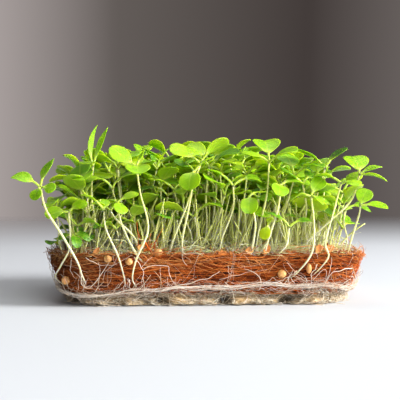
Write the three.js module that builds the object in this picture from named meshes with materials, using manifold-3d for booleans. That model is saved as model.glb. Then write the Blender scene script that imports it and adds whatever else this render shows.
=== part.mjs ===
// Microgreens growing on a coconut-fibre mat: the fibre slab, the felt of white roots that has
// grown out under it, seed hulls on its face, and the seedlings that stand in it.
// Millimetres, +Z up, front towards -Y. The origin is the middle of the flat underside.
import * as THREE from "three";
import { mergeVertices } from "three/addons/utils/BufferGeometryUtils.js";
import Module from "manifold-3d";

const wasm = await Module();
wasm.setup();

// Driving dimensions of the mat.
const MAT_LENGTH = 108; // along X, at the top
const MAT_DEPTH = 78; // along Y, at the top
const MAT_TOP = 17.2; // height of the fibre slab's top
const FLARE = 2.6; // how much further out a side stands at the top than at the foot
const END_TAPER = 3.4; // how much more the two ends are drawn in at the foot
const CORNER_RADIUS = 13; // of the corners, seen from above
const FOOT_RADIUS = 5.4; // of the rounded lower edge
const ROOT_FELT = 4.4; // thickness of the root felt under the slab
const GAP = 0.3; // between two pieces that touch
const RELIEF = 0.55; // how far the fibres' ridges stand out of the slab

// Driving dimensions of the seedlings.
const STEM_RADIUS = 0.55;
const STEM_SIDES = 4;
const PETIOLE_WIDTH = 1.1;
const BLADE_THICKNESS = 0.62;
const WIDEST = 0.62; // where a seed leaf's blade is widest, as a share of its length
const TALL_CROWNS = [22, 34]; // heights above the slab's top
const SHORT_CROWNS = [12, 21];
const LEFT_END_DROP = 7; // how much shorter the tallest are at the left end
const RIGHT_END_DROP = 9; // and at the right end
const CLUMP_COLUMNS = 7;
const CLUMP_ROWS = 5;
const SEEDLINGS_PER_CLUMP = 2;
const CLUMP_INSET = 10.5; // from the mat's edge to the outermost clumps
const CLUMP_FRONT_INSET = 13; // the front edge holds the seedlings set by hand
const PLUG_RADIUS = 1.25; // the knot of root that a clump's stems share
const PLUG_DEPTH = 4;
const CLEARANCE = 0.15; // kept between marks of different seedlings
const ATTEMPTS = 160;
const SEED = 4107;

const SMALLEST_DETAIL = 0.19; // of any solid: finer faces are closed up

const radians = THREE.MathUtils.degToRad;
const point = (x, y, z) => new THREE.Vector3(x, y, z);
const mix = (a, b, share) => a + (b - a) * share;

// A stream of numbers from 0 to 1 that is the same for the same start.
function randomFrom(start) {
  let state = start >>> 0;
  const next = () => {
    state = (Math.imul(1664525, state) + 1013904223) >>> 0;
    return state / 4294967296;
  };
  next();
  next();
  return next;
}

function solidFrom(geometry) {
  geometry.deleteAttribute("normal");
  geometry.deleteAttribute("uv");
  const merged = mergeVertices(geometry, 1e-4);
  return new wasm.Manifold(
    new wasm.Mesh({
      numProp: 3,
      vertProperties: new Float32Array(merged.attributes.position.array),
      triVerts: new Uint32Array(merged.index.array),
    }),
  );
}

// Closes up the tiny faces that a join leaves, and drops loose scraps.
function tidied(solid) {
  const bodies = solid.asOriginal().simplify(SMALLEST_DETAIL).decompose();
  return bodies.reduce((largest, one) => (one.volume() > largest.volume() ? one : largest));
}

// A closed body through rings of points. Each ring has the same number of points.
// closed joins the last ring to the first; otherwise a flat fan closes each end.
// turned says for which sides of the ring the faces are split along the other diagonal.
function loft(rings, { closed = false, turned = () => false } = {}) {
  const count = rings[0].length;
  const faces = [];
  const spans = closed ? rings.length : rings.length - 1;
  for (let i = 0; i < spans; i++) {
    const near = i * count;
    const far = ((i + 1) % rings.length) * count;
    for (let j = 0; j < count; j++) {
      const next = (j + 1) % count;
      const [a, b, c, d] = [near + j, near + next, far + next, far + j];
      faces.push(...(turned(j) ? [a, b, d, b, c, d] : [a, b, c, a, c, d]));
    }
  }
  const last = (rings.length - 1) * count;
  for (let j = 1; j + 1 < count && !closed; j++) {
    faces.push(0, j + 1, j, last, last + j, last + j + 1);
  }
  const vertices = new Float32Array(rings.flat().flatMap((p) => p.toArray()));
  const made = new wasm.Manifold(
    new wasm.Mesh({ numProp: 3, vertProperties: vertices, triVerts: new Uint32Array(faces) }),
  );
  return made;
}

// A ring of points round a centre, across the way that the tube runs.
function ringAt(centre, along, reference, radius, sides) {
  const across = new THREE.Vector3().crossVectors(along, reference).normalize();
  const over = new THREE.Vector3().crossVectors(along, across).normalize();
  return Array.from({ length: sides }, (_, j) => {
    const angle = (2 * Math.PI * j) / sides;
    return centre
      .clone()
      .addScaledVector(across, radius * Math.cos(angle))
      .addScaledVector(over, radius * Math.sin(angle));
  });
}

// A tube along a smooth curve through the points; radiusAt gives its radius from 0 to 1 along it.
function tube(points, radiusAt, { sides = STEM_SIDES, steps = 5, reference = point(0, 1, 0) } = {}) {
  const curve = new THREE.CatmullRomCurve3(points, false, "catmullrom", 0.5);
  const rings = [];
  for (let i = 0; i <= steps; i++) {
    const t = i / steps;
    rings.push(ringAt(curve.getPoint(t), curve.getTangent(t), reference, radiusAt(t), sides));
  }
  return loft(rings);
}

// The mat's plan

// Half the mat's length and depth at a height, with the rounded foot taken off.
function halfSizes(z) {
  const flare = FLARE * (1 - z / MAT_TOP);
  const rise = Math.min(1, z / FOOT_RADIUS);
  const foot = FOOT_RADIUS * (1 - Math.sqrt(1 - (1 - rise) ** 2));
  const taper = END_TAPER * Math.pow(1 - Math.min(z, MAT_TOP) / MAT_TOP, 1.5);
  return [MAT_LENGTH / 2 - flare - foot - taper, MAT_DEPTH / 2 - flare - foot];
}

// The point of the mat's outline at a distance run anticlockwise from the middle of the front, with
// the direction that faces out there.
function outline(distance, z) {
  const [a, b] = halfSizes(z);
  const r = CORNER_RADIUS;
  const straights = [a - r, 2 * (b - r), 2 * (a - r), 2 * (b - r), a - r];
  const corners = [
    [a - r, r - b],
    [a - r, b - r],
    [r - a, b - r],
    [r - a, r - b],
  ];
  const arc = (Math.PI / 2) * r;
  const starts = [[0, -b], [a, r - b], [a - r, b], [-a, b - r], [r - a, -b]];
  let left = distance;
  for (let side = 0; side < straights.length; side++) {
    const facing = -Math.PI / 2 + (side * Math.PI) / 2;
    const ahead = facing + Math.PI / 2;
    if (left <= straights[side] || side === straights.length - 1) {
      const [x, y] = starts[side];
      return {
        x: x + left * Math.cos(ahead),
        y: y + left * Math.sin(ahead),
        out: [Math.cos(facing), Math.sin(facing)],
      };
    }
    left -= straights[side];
    if (left <= arc) {
      const angle = facing + left / r;
      return {
        x: corners[side][0] + r * Math.cos(angle),
        y: corners[side][1] + r * Math.sin(angle),
        out: [Math.cos(angle), Math.sin(angle)],
      };
    }
    left -= arc;
  }
}

function outlineLength(z) {
  const [a, b] = halfSizes(z);
  return 4 * (a + b - 2 * CORNER_RADIUS) + 2 * Math.PI * CORNER_RADIUS;
}

// A point beside the mat's outline: off is how far it stands out of the side.
function beside(distance, z, off) {
  const length = outlineLength(z);
  const at = outline(((distance % length) + length) % length, z);
  return point(at.x + off * at.out[0], at.y + off * at.out[1], z);
}

// The ridges that matted fibres leave, from -1 to 1.
function ridges(x, y, z) {
  const sweep = Math.sin(0.53 * x + 1.9 * z + 0.4 * y) * Math.sin(0.61 * y - 0.23 * x + 1.1 * z);
  const tufts = Math.sin(1.37 * x + 2.1) * Math.sin(1.21 * y + 0.6);
  return 0.6 * sweep + 0.4 * tufts;
}

// A block with the mat's rounded plan between two heights. margin is how far its sides stand out of
// the plan, relief how rough they are, and topRelief how rough its top is.
function slab(low, high, { margin = 0, relief, topRelief = 0, cells: [nx, ny, nz] }) {
  const geometry = new THREE.BoxGeometry(2, 2, 1, nx, ny, nz);
  const position = geometry.attributes.position;
  const crowd = (u) => 0.55 * Math.sin((u * Math.PI) / 2) + 0.45 * u;
  for (let i = 0; i < position.count; i++) {
    const [u, v] = [crowd(position.getX(i)), crowd(position.getY(i))];
    const share = position.getZ(i) + 0.5;
    const z = mix(low, high, share);
    const [a, b] = halfSizes(z);
    const rough = ridges(u * a, v * b, z);
    const onSide = Math.max(Math.abs(position.getX(i)), Math.abs(position.getY(i))) === 1;
    const grown = onSide ? share * margin + Math.sign(share) * relief * rough : 0;
    const [x, y] = roundedPlan(u * (a + grown), v * (b + grown), a + grown, b + grown);
    position.setXYZ(i, x, y, share === 1 ? z + topRelief * rough : z);
  }
  return solidFrom(geometry);
}

// Draws a point of a rectangle into its rounded corner.
function roundedPlan(x, y, a, b) {
  const r = CORNER_RADIUS;
  const [dx, dy] = [Math.max(Math.abs(x) - a + r, 0), Math.max(Math.abs(y) - b + r, 0)];
  if (dx === 0 || dy === 0) return [x, y];
  const share = Math.max(dx, dy) / Math.hypot(dx, dy);
  return [Math.sign(x) * (a - r + dx * share), Math.sign(y) * (b - r + dy * share)];
}

// Leaves and stems

const SEED_LEAF = "seed leaf"; // round, from the seed
const TRUE_LEAF = "true leaf"; // longer, with a point

// Half-width of a blade as a share of its greatest, from 0 at the petiole to 1 at the tip.
function bladeProfile(kind, u) {
  if (kind === TRUE_LEAF) return Math.sin(Math.PI * Math.pow(Math.min(u, 0.985), 0.85));
  if (u < WIDEST) return Math.sin((Math.PI / 2) * Math.pow(u / WIDEST, 0.8));
  return Math.sqrt(1 - Math.pow((u - WIDEST) / (1.04 - WIDEST), 2));
}

// A leaf leaves its crown at angle rise above the level and ends at angle droop, on an even bend.
// heading is the way it points, seen from above, and roll tips the blade to one side.
function leafFrame(crown, leaf, distance) {
  const length = leaf.petiole + leaf.blade;
  const [rise, droop] = [radians(leaf.rise), radians(leaf.droop)];
  const bend = (droop - rise) / length;
  const angle = rise + bend * distance;
  const reach = (Math.sin(angle) - Math.sin(rise)) / bend;
  const lift = (Math.cos(rise) - Math.cos(angle)) / bend;
  const heading = radians(leaf.heading);
  const away = point(Math.cos(heading), Math.sin(heading), 0);
  const side = point(-Math.sin(heading), Math.cos(heading), 0);
  const up = away.clone().multiplyScalar(-Math.sin(angle)).setZ(Math.cos(angle));
  const roll = radians(leaf.roll);
  return {
    at: crown.clone().addScaledVector(away, reach).setZ(crown.z + lift),
    across: side.clone().multiplyScalar(Math.cos(roll)).addScaledVector(up, Math.sin(roll)),
    face: up.clone().multiplyScalar(Math.cos(roll)).addScaledVector(side, -Math.sin(roll)),
  };
}

const BLADE_STATIONS = { [SEED_LEAF]: [0.04, 0.34, 0.7, 1], [TRUE_LEAF]: [0.05, 0.35, 0.75, 1] };

function leafSolid(crown, leaf) {
  const stations = BLADE_STATIONS[leaf.kind].map((u) => ({
    distance: leaf.petiole + u * leaf.blade,
    half: Math.max((bladeProfile(leaf.kind, u) * leaf.width) / 2, PETIOLE_WIDTH / 2),
  }));
  stations.unshift({ distance: -0.3, half: PETIOLE_WIDTH / 2 });
  const rings = stations.map(({ distance, half }) => {
    const { at, across, face } = leafFrame(crown, leaf, distance);
    const corner = (side, top) =>
      at.clone().addScaledVector(across, side * half).addScaledVector(face, (top * BLADE_THICKNESS) / 2);
    return [corner(-1, -1), corner(1, -1), corner(1, 1), corner(-1, 1)];
  });
  return loft(rings, { turned: (j) => j === 2 });
}

function stemSolid(stem, extra = 0) {
  const radiusAt = (t) => mix(STEM_RADIUS * 1.05, STEM_RADIUS * 0.95, t) + extra;
  return tube(stem, radiusAt, { steps: 2 * stem.length - 4 });
}

// Points spread over a seedling, each with a radius, for keeping seedlings clear of each other.
function marksOf(seedling) {
  const marks = [];
  const curve = new THREE.CatmullRomCurve3(seedling.stem, false, "catmullrom", 0.5);
  const STEM_MARKS = 26;
  for (let i = 0; i <= STEM_MARKS; i++) marks.push([curve.getPoint(i / STEM_MARKS), 0.85]);
  const crown = seedling.stem[seedling.stem.length - 1];
  for (const leaf of seedling.leaves) {
    for (let d = 1.5; d < leaf.petiole; d += 1.3) marks.push([leafFrame(crown, leaf, d).at, 0.85]);
    for (const u of [0.06, 0.25, 0.44, 0.63, 0.82, 1]) {
      const { at, across } = leafFrame(crown, leaf, leaf.petiole + u * leaf.blade);
      const half = (bladeProfile(leaf.kind, u) * leaf.width) / 2;
      for (const side of [-0.85, -0.3, 0.3, 0.85]) {
        marks.push([at.clone().addScaledVector(across, side * half), 1.05]);
      }
    }
  }
  return marks;
}

function boundsOf(marks) {
  const box = new THREE.Box3().setFromPoints(marks.map(([at]) => at));
  return box.expandByScalar(1.3);
}

// Whether two seedlings stay clear of each other above a height.
function areClear(one, other, above) {
  if (!one.bounds.intersectsBox(other.bounds)) return true;
  for (const [p, r] of one.marks) {
    if (p.z < above) continue;
    for (const [q, s] of other.marks) {
      const least = r + s + CLEARANCE;
      if (q.z > above && p.distanceToSquared(q) < least * least) return false;
    }
  }
  return true;
}

function finished(seedling) {
  seedling.marks = marksOf(seedling);
  seedling.bounds = boundsOf(seedling.marks);
  return seedling;
}

// The seedlings of the front row, set by hand. Each has its stem's points from the root up to the
// crown, and its leaves as kind, heading, rise, droop, petiole, blade, width and roll.
const [C, T] = [SEED_LEAF, TRUE_LEAF];
const FRONT_ROW = [
  {
    // leans out at the left end, with true leaves over its seed leaves
    stem: [
      [-41, -36, 7.2], [-42.2, -40.4, 11], [-43.6, -41.5, 15.2], [-49, -41.3, 24.6], [-53.6, -41, 32],
      [-55.4, -40.4, 39],
    ],
    leaves: [
      [C, -118, -20, -84, 1, 4.3, 4.4, 0],
      [C, -24, 8, -22, 1.2, 4, 4, 60],
      [T, 182, 50, -14, 3, 7.4, 4.4, -46],
      [T, 44, 82, 38, 2.8, 8.4, 5, -4],
    ],
  },
  {
    stem: [
      [-48.4, -29.4, 6.2], [-51.2, -33.4, 9.6], [-49.2, -36.9, 13.6], [-46.2, -37.8, 20], [-46.6, -36.4, 31],
    ],
    leaves: [
      [C, 20, 54, 0, 1.6, 5.4, 5, 36],
      [C, 194, 14, -40, 1.8, 5.8, 5.4, -44],
    ],
  },
  {
    stem: [
      [-28.2, -36.6, 6.4], [-28.6, -40.2, 10], [-30.6, -40.9, 17], [-34.4, -40, 25.4], [-35.2, -39, 31.6],
    ],
    leaves: [
      [C, 95, 62, 20, 0.8, 4.8, 4.6, 0],
      [C, 205, 60, 8, 4, 5.4, 5, 0],
    ],
  },
  {
    stem: [[-20.6, -36.4, 13], [-24.7, -39.2, 17.4], [-29.2, -38.3, 26.6], [-31, -37.4, 34]],
    leaves: [
      [C, -72, 5, -64, 1.6, 5.6, 5, -10],
      [C, 10, 42, 4, 2.2, 5.6, 4.6, 25],
      [C, 112, 35, -30, 2, 5.4, 5, 0],
    ],
  },
  {
    stem: [
      [-24.2, -36, 5.8], [-25.9, -40.4, 9.6], [-24.6, -41.6, 16], [-20.8, -41, 25.8], [-23.3, -39, 37],
      [-24.6, -37.6, 46],
    ],
    leaves: [
      [C, 166, 36, 38, 2, 8.6, 7, -40],
      [C, -86, 6, -42, 1.4, 7, 8.2, 0],
      [T, 38, 66, 52, 2.2, 4.2, 1.8, 0],
    ],
  },
  {
    // two narrow leaves that stand above the rest
    stem: [[-37.5, -28, 14.5], [-37.8, -28, 24], [-39.6, -27.4, 36], [-39.2, -27, 46.6]],
    leaves: [
      [T, 186, 70, 122, 2.6, 11.8, 2, -64],
      [T, 8, 76, 62, 2.8, 11.4, 2, 62],
      [C, -105, 30, -25, 2, 6.4, 6, 0],
    ],
  },
  {
    stem: [[-14.4, -33.6, 13.8], [-12.6, -34.2, 21], [-7.6, -34.8, 34], [-3.4, -34.6, 47]],
    leaves: [
      [C, 12, 66, 4, 3.2, 9.2, 9, -30],
      [C, 172, 50, 8, 3.4, 8.4, 7.6, -34],
    ],
  },
  {
    stem: [[-8.6, -36, 13.6], [-9.6, -38.6, 21.6], [-7.4, -39.6, 33], [-5.6, -39.4, 44.4]],
    leaves: [
      [C, -112, -6, -86, 2, 7, 7.4, 0],
      [C, 8, 58, 14, 2.4, 5.8, 5, 0],
    ],
  },
  {
    stem: [[2.6, -35, 13.6], [3.6, -36, 21.6], [7.3, -37, 32], [7.4, -37, 39.6]],
    leaves: [
      [C, 158, 58, 4, 4.8, 6, 5.2, 0],
      [C, 14, 50, -36, 4.6, 6.4, 6.4, 20],
    ],
  },
  {
    stem: [[12.6, -35.6, 13.6], [13.8, -38.4, 20.6], [14.4, -39.6, 28], [12.4, -39.6, 36.2]],
    leaves: [
      [C, -98, -10, -86, 1.6, 6.4, 5.8, 0],
      [C, 40, 34, -12, 2.6, 5.4, 5, 0],
    ],
  },
  {
    stem: [[14.6, -33.6, 13.8], [16.2, -34.2, 24], [19, -34.6, 37], [19.8, -34.4, 47.6]],
    leaves: [
      [C, 92, 76, 12, 3.4, 8.4, 9.6, 0],
      [C, 186, 42, -6, 2.6, 7.6, 7, -16],
      [C, -34, 44, -6, 2.8, 8, 7.6, 20],
    ],
  },
  {
    stem: [[17.4, -36.2, 13.4], [18.8, -38.4, 21.6], [22, -39, 32], [23, -39, 40]],
    leaves: [
      [C, -104, 0, -52, 1.8, 6.6, 6, -24],
      [C, 22, 34, -28, 2.2, 6.6, 6, 18],
    ],
  },
  {
    stem: [[26.4, -36.4, 8.8], [28.6, -40, 11.4], [33, -41, 17.8], [33.9, -40, 27], [33.2, -38.4, 36.2]],
    leaves: [
      [C, 36, 64, 22, 1.8, 6.6, 5, 42],
      [C, 196, 22, -40, 1.8, 5.8, 4.6, 12],
      [T, -58, 2, -56, 1.6, 5, 3.4, 0],
    ],
  },
  {
    stem: [
      [33.4, -36.4, 9], [36.4, -40.2, 13], [38.6, -40.8, 16.6], [37.6, -40.4, 21], [40.4, -39, 30],
      [43.6, -37.6, 40.6],
    ],
    leaves: [
      [C, 168, 46, -16, 2.6, 7, 5.6, 0],
      [C, -42, 24, -34, 1.8, 5.4, 5, 20],
    ],
  },
  {
    // the long stem that leans out to the right
    stem: [
      [29.6, -32, 13.6], [32.4, -34.6, 20.4], [40.8, -35.4, 28.4], [47.6, -35.4, 35], [50.6, -34.8, 43.6],
    ],
    leaves: [
      [C, 96, 74, 18, 1.6, 7.6, 9, 0],
      [T, 4, 40, -4, 1.8, 6.8, 4, 20],
      [T, -20, 8, -36, 1.4, 8.2, 3.8, -10],
    ],
  },
  {
    stem: [[46.4, -32.4, 13.6], [47.6, -35.4, 21.6], [49.4, -38.6, 30], [49.6, -39.6, 33.2]],
    leaves: [
      [C, 40, 66, 40, 0.8, 5.8, 5.8, 30],
      [C, -10, 10, -22, 2, 7, 4.6, 25],
    ],
  },
].map(({ stem, leaves }) =>
  finished({
    stem: stem.map((p) => point(...p)),
    leaves: leaves.map(([kind, heading, rise, droop, petiole, blade, width, roll]) => ({
      kind, heading, rise, droop, petiole, blade, width, roll,
    })),
  }),
);

// A seedling of a clump at x, y: where it leans, how tall it is and how its leaves lie are drawn
// by chance, the same on each run. The outer ones lean out over the mat's edge.
function drawnSeedling(x, y, start, crowns, small) {
  const draw = randomFrom(start);
  const between = (low, high) => mix(low, high, draw());
  const [a, b] = [MAT_LENGTH / 2, MAT_DEPTH / 2];
  const away = between(0, 2 * Math.PI);
  const lean = between(1.5, 6.5);
  const leanX = lean * Math.cos(away) + between(x < 0 ? 0 : 2, x < 0 ? 5 : 9) * Math.pow(x / a, 3);
  const leanY = lean * Math.sin(away) + between(3, 9) * Math.pow(y / b, 3);
  const edge = Math.max(Math.abs(x) / a, Math.abs(y) / b);
  const endDrop = x < 0 ? LEFT_END_DROP : RIGHT_END_DROP;
  const drop = 4 * Math.pow(edge, 4) + endDrop * Math.pow(Math.abs(x) / a, x < 0 ? 3 : 2);
  const height = between(crowns[0], Math.max(crowns[1] - drop, crowns[0])) - (small ? 2 : 0);
  const kink = between(-1.6, 1.6);
  const stem = [
    point(x + 0.4 * Math.cos(away), y + 0.4 * Math.sin(away), MAT_TOP - 1.6),
    point(x + 0.2 * leanX + kink, y + 0.2 * leanY, MAT_TOP + 0.3 * height),
    point(x + 0.62 * leanX, y + 0.62 * leanY + 0.6 * kink, MAT_TOP + 0.68 * height),
    point(x + leanX, y + leanY, MAT_TOP + height),
  ];
  const size = small ? 0.82 : 1;
  const heading = between(0, 360);
  const leaves = [0, 1].map((k) => ({
    kind: SEED_LEAF,
    heading: heading + 180 * k + between(-25, 25),
    rise: between(34, 74),
    droop: between(-48, 30),
    petiole: between(2.6, 4.6),
    blade: size * between(7, 9.2),
    width: size * between(6.6, 9),
    roll: between(-28, 28),
  }));
  if (draw() < 0.14) {
    for (const k of [0, 1]) {
      leaves.push({
        kind: TRUE_LEAF,
        heading: heading + 90 + 180 * k + between(-25, 25),
        rise: between(66, 82),
        droop: between(20, 55),
        petiole: between(1.6, 2.6),
        blade: between(4.6, 7),
        width: between(2.4, 3.6),
        roll: between(-20, 20),
      });
    }
  }
  return finished({ stem, leaves });
}

// Fills the mat with clumps of seedlings, on a staggered grid.
function drawnClumps() {
  const clumps = [];
  const placed = [...FRONT_ROW];
  for (let row = 0; row < CLUMP_ROWS; row++) {
    for (let column = 0; column < CLUMP_COLUMNS; column++) {
      const index = row * CLUMP_COLUMNS + column;
      const draw = randomFrom(SEED + 7919 * index);
      const [a, b] = [MAT_LENGTH / 2 - CLUMP_INSET, MAT_DEPTH / 2 - CLUMP_INSET];
      const stagger = row % 2 ? 0.22 : -0.22;
      const x = mix(-a, a, (column + 0.5 + stagger) / CLUMP_COLUMNS) + mix(-1.6, 1.6, draw());
      const front = CLUMP_FRONT_INSET - MAT_DEPTH / 2;
      const y = mix(front, b, row / (CLUMP_ROWS - 1)) + mix(-1.8, 1.8, draw());
      const seedlings = [];
      for (let twin = 0; twin < SEEDLINGS_PER_CLUMP; twin++) {
        for (let attempt = 0; attempt < ATTEMPTS; attempt++) {
          const start = SEED + 100003 * index + 1009 * twin + 13 * attempt;
          const made = drawnSeedling(x, y, start, twin ? SHORT_CROWNS : TALL_CROWNS, attempt > ATTEMPTS / 2);
          const clear =
            placed.every((other) => areClear(made, other, 0)) &&
            seedlings.every((other) => areClear(made, other, MAT_TOP + 9));
          if (clear) {
            seedlings.push(made);
            break;
          }
        }
      }
      placed.push(...seedlings);
      clumps.push({ x, y, seedlings });
    }
  }
  return clumps.filter(({ seedlings }) => seedlings.length > 0);
}

function seedlingSolid({ stem, leaves }) {
  const crown = stem[stem.length - 1];
  return leaves.reduce((made, leaf) => made.add(leafSolid(crown, leaf)), stemSolid(stem));
}

// A five-sided cone standing on its narrow end, from low to high.
function cone(x, y, low, high, lowRadius, highRadius) {
  const geometry = new THREE.CylinderGeometry(highRadius, lowRadius, high - low, 5);
  geometry.rotateX(Math.PI / 2).translate(x, y, (low + high) / 2);
  return solidFrom(geometry);
}

const plugSolid = (x, y) =>
  cone(x, y, MAT_TOP - PLUG_DEPTH, MAT_TOP - 0.6, PLUG_RADIUS * 0.8, PLUG_RADIUS);

// The hollow in the slab that a clump's plug sits in, wide enough at its mouth for the stems.
const plugSocket = (x, y) =>
  cone(x, y, MAT_TOP - PLUG_DEPTH - GAP, MAT_TOP + 2, PLUG_RADIUS * 0.8 + GAP + 0.1, PLUG_RADIUS + 1.9);

function clumpSolid({ x, y, seedlings }) {
  return tidied(seedlings.reduce((made, one) => made.add(seedlingSolid(one)), plugSolid(x, y)));
}

// The front face's y at a place along it, rounded corners included.
function frontFace(x, z) {
  const [a, b] = halfSizes(z);
  const along = Math.max(Math.abs(x) - a + CORNER_RADIUS, 0);
  return CORNER_RADIUS - b - Math.sqrt(CORNER_RADIUS ** 2 - along ** 2);
}

// The seed hulls that cling to the front face, then those that lie on the slab's front edge.
const SEED_HULLS = [
  { x: -47.8, z: 8.5, size: [1.45, 1.3, 1.4] },
  { x: -33.9, z: 15.8, size: [1.3, 1.2, 1.15] },
  { x: -27, z: 14.9, size: [1.3, 1.2, 1.2] },
  { x: 23.5, z: 10.5, size: [1.5, 1.2, 1.3] },
  { x: 32.5, z: 12.3, size: [0.95, 1.1, 1.7] },
  { x: -17.4, y: -37, z: MAT_TOP + 0.5, size: [1.5, 1.3, 1.2] },
  { x: 42.4, y: -33.4, z: MAT_TOP + 0.5, size: [1.3, 1.3, 1.5] },
].map(({ x, y, z, size }) => ({ at: [x, y ?? frontFace(x, z) - 0.25, z], size }));

function hullSolid({ at, size }) {
  const geometry = new THREE.IcosahedronGeometry(1, 1);
  geometry.scale(...size).translate(...at);
  return solidFrom(geometry);
}

// The dent that a hull sits in, larger than the hull all round.
function hullSocket({ at, size }) {
  const geometry = new THREE.IcosahedronGeometry(1, 0);
  const slack = 1 / 0.795; // an icosahedron's corners are this much further out than its faces
  geometry.scale(...size.map((s) => (s + GAP) * slack)).translate(...at);
  return solidFrom(geometry);
}

// The fibre slab

// Coarse strands that lie round the sides, half sunk in them.
function sideStrands() {
  const draw = randomFrom(SEED + 1);
  const round = outlineLength(MAT_TOP / 2);
  const STRANDS = 12;
  return Array.from({ length: STRANDS }, (_, i) => {
    const start = (round * (i + draw())) / STRANDS;
    const length = mix(9, 17, draw());
    const low = mix(ROOT_FELT + 2.2, MAT_TOP - 2.4, draw());
    const slope = mix(-2, 2, draw());
    const points = [0, 0.33, 0.67, 1].map((t) => {
      const z = Math.min(Math.max(low + slope * t, ROOT_FELT + 1.6), MAT_TOP - 1.4);
      return beside(start + length * t, z, t === 0 || t === 1 ? -0.9 : 0.2);
    });
    return tube(points, () => 0.62, { sides: 4, steps: 4, reference: point(0, 0, 1) });
  });
}

// Strands that lie across the top.
function topStrands() {
  const draw = randomFrom(SEED + 2);
  const STRANDS = 6;
  return Array.from({ length: STRANDS }, () => {
    const x = mix(-40, 40, draw());
    const y = mix(-28, 28, draw());
    const heading = mix(-0.6, 0.6, draw());
    const half = mix(4, 8, draw());
    const [dx, dy] = [half * Math.cos(heading), half * Math.sin(heading)];
    const ends = [-1, -0.35, 0.35, 1].map((t) =>
      point(x + t * dx, y + t * dy, MAT_TOP + (Math.abs(t) < 1 ? 0.4 : -1)),
    );
    return tube(ends, () => 0.6, { sides: 4, steps: 4, reference: point(0, 0, 1) });
  });
}

function fibreSlab(clumps) {
  const body = slab(ROOT_FELT + GAP, MAT_TOP, { relief: RELIEF, topRelief: RELIEF, cells: [15, 11, 2] });
  const rough = [...sideStrands(), ...topStrands()].reduce((made, one) => made.add(one), body);
  const sockets = [
    ...clumps.map(({ x, y }) => plugSocket(x, y)),
    ...FRONT_ROW.map(({ stem }) => stemSolid(stem, GAP + 0.1)),
    ...SEED_HULLS.map(hullSocket),
  ];
  return tidied(sockets.reduce((made, one) => made.subtract(one), rough));
}

// The root felt

// The thick rope of roots that follows the foot of the slab, all round.
function rootRope() {
  const STEPS = 48;
  const rings = [];
  for (let i = 0; i < STEPS; i++) {
    const round = (2 * Math.PI * i) / STEPS;
    const z = ROOT_FELT + 0.55 + 0.55 * Math.sin(3 * round + 1.1) + 0.3 * Math.sin(7 * round);
    const distance = (outlineLength(z) * i) / STEPS;
    const centre = beside(distance, z, 1.62 + 0.2 * Math.sin(5 * round));
    const ahead = beside(distance + 0.5, z, 1.62).sub(beside(distance - 0.5, z, 1.62)).normalize();
    rings.push(ringAt(centre, ahead, point(0, 0, 1), 0.85 + 0.15 * Math.sin(11 * round), 4));
  }
  return loft(rings, { closed: true });
}

// Roots that climb the slab's sides from the rope: distance round the foot, sideways run, height.
const CLIMBING_ROOTS = [
  [-36, 5, 5.4], [-21, -3, 3.6], [-6, 7, 6.2], [6, -5, 7.4], [19, 4, 5.2], [32, -4, 3.4], [44, 6, 6.4],
  [62, 6, 6], [82, -5, 7], [104, 6, 5], [128, 7, 6.4], [150, -6, 7], [176, 6, 5.4], [204, -5, 6.8],
  [226, 6, 5.6], [252, 5, 6.6],
];

function climbingRoot([start, run, height]) {
  const foot = ROOT_FELT + 0.5;
  const off = RELIEF + 0.62 + GAP + 0.35;
  const points = [0, 0.3, 0.65, 1].map((t) =>
    beside(start + run * t * t, foot + height * t, off + 0.25 * Math.sin(Math.PI * t)),
  );
  return tube(points, (t) => mix(0.5, 0.28, t), { sides: 4, steps: 4, reference: point(0.3, 0.2, 1) });
}

function rootFelt() {
  const felt = slab(0, ROOT_FELT, { margin: 1.1, relief: 0.35, cells: [11, 9, 2] });
  return tidied([rootRope(), ...CLIMBING_ROOTS.map(climbingRoot)].reduce((made, one) => made.add(one), felt));
}

// The whole

const finish = (color, roughness) =>
  new THREE.MeshStandardMaterial({ color, roughness, metalness: 0, flatShading: true });
const FIBRE = finish(0x7a3f1e, 0.95);
const ROOT = finish(0xe9ddc4, 0.7);
const HULL = finish(0xd9a057, 0.6);
const GREEN = finish(0x86b81e, 0.5);

function meshOf(name, solid, material) {
  const { vertProperties, triVerts } = solid.getMesh();
  const geometry = new THREE.BufferGeometry();
  geometry.setAttribute("position", new THREE.BufferAttribute(vertProperties, 3));
  geometry.setIndex(new THREE.BufferAttribute(triVerts, 1));
  geometry.computeVertexNormals();
  const mesh = new THREE.Mesh(geometry, material);
  mesh.name = name;
  return mesh;
}

const numbered = (name, index) => `${name}_${String(index + 1).padStart(2, "0")}`;
const clumps = drawnClumps();
const microgreens = new THREE.Group();
microgreens.add(meshOf("coir_mat", fibreSlab(clumps), FIBRE));
microgreens.add(meshOf("root_felt", rootFelt(), ROOT));
SEED_HULLS.forEach((hull, i) => {
  microgreens.add(meshOf(numbered("seed_hull", i), hullSolid(hull), HULL));
});
FRONT_ROW.forEach((seedling, i) => {
  microgreens.add(meshOf(numbered("front_seedling", i), tidied(seedlingSolid(seedling)), GREEN));
});
clumps.forEach((clump, i) => {
  microgreens.add(meshOf(numbered("seedling_clump", i), clumpSolid(clump), GREEN));
});

export default microgreens;
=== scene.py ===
# Microgreens on a coconut-fibre mat: the fine surfaces, materials, light and camera.
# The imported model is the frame. Lengths here are in millimetres up to mesh_object(), which
# makes metres of them.
import math

import bpy
import numpy as np
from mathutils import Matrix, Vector, noise


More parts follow.
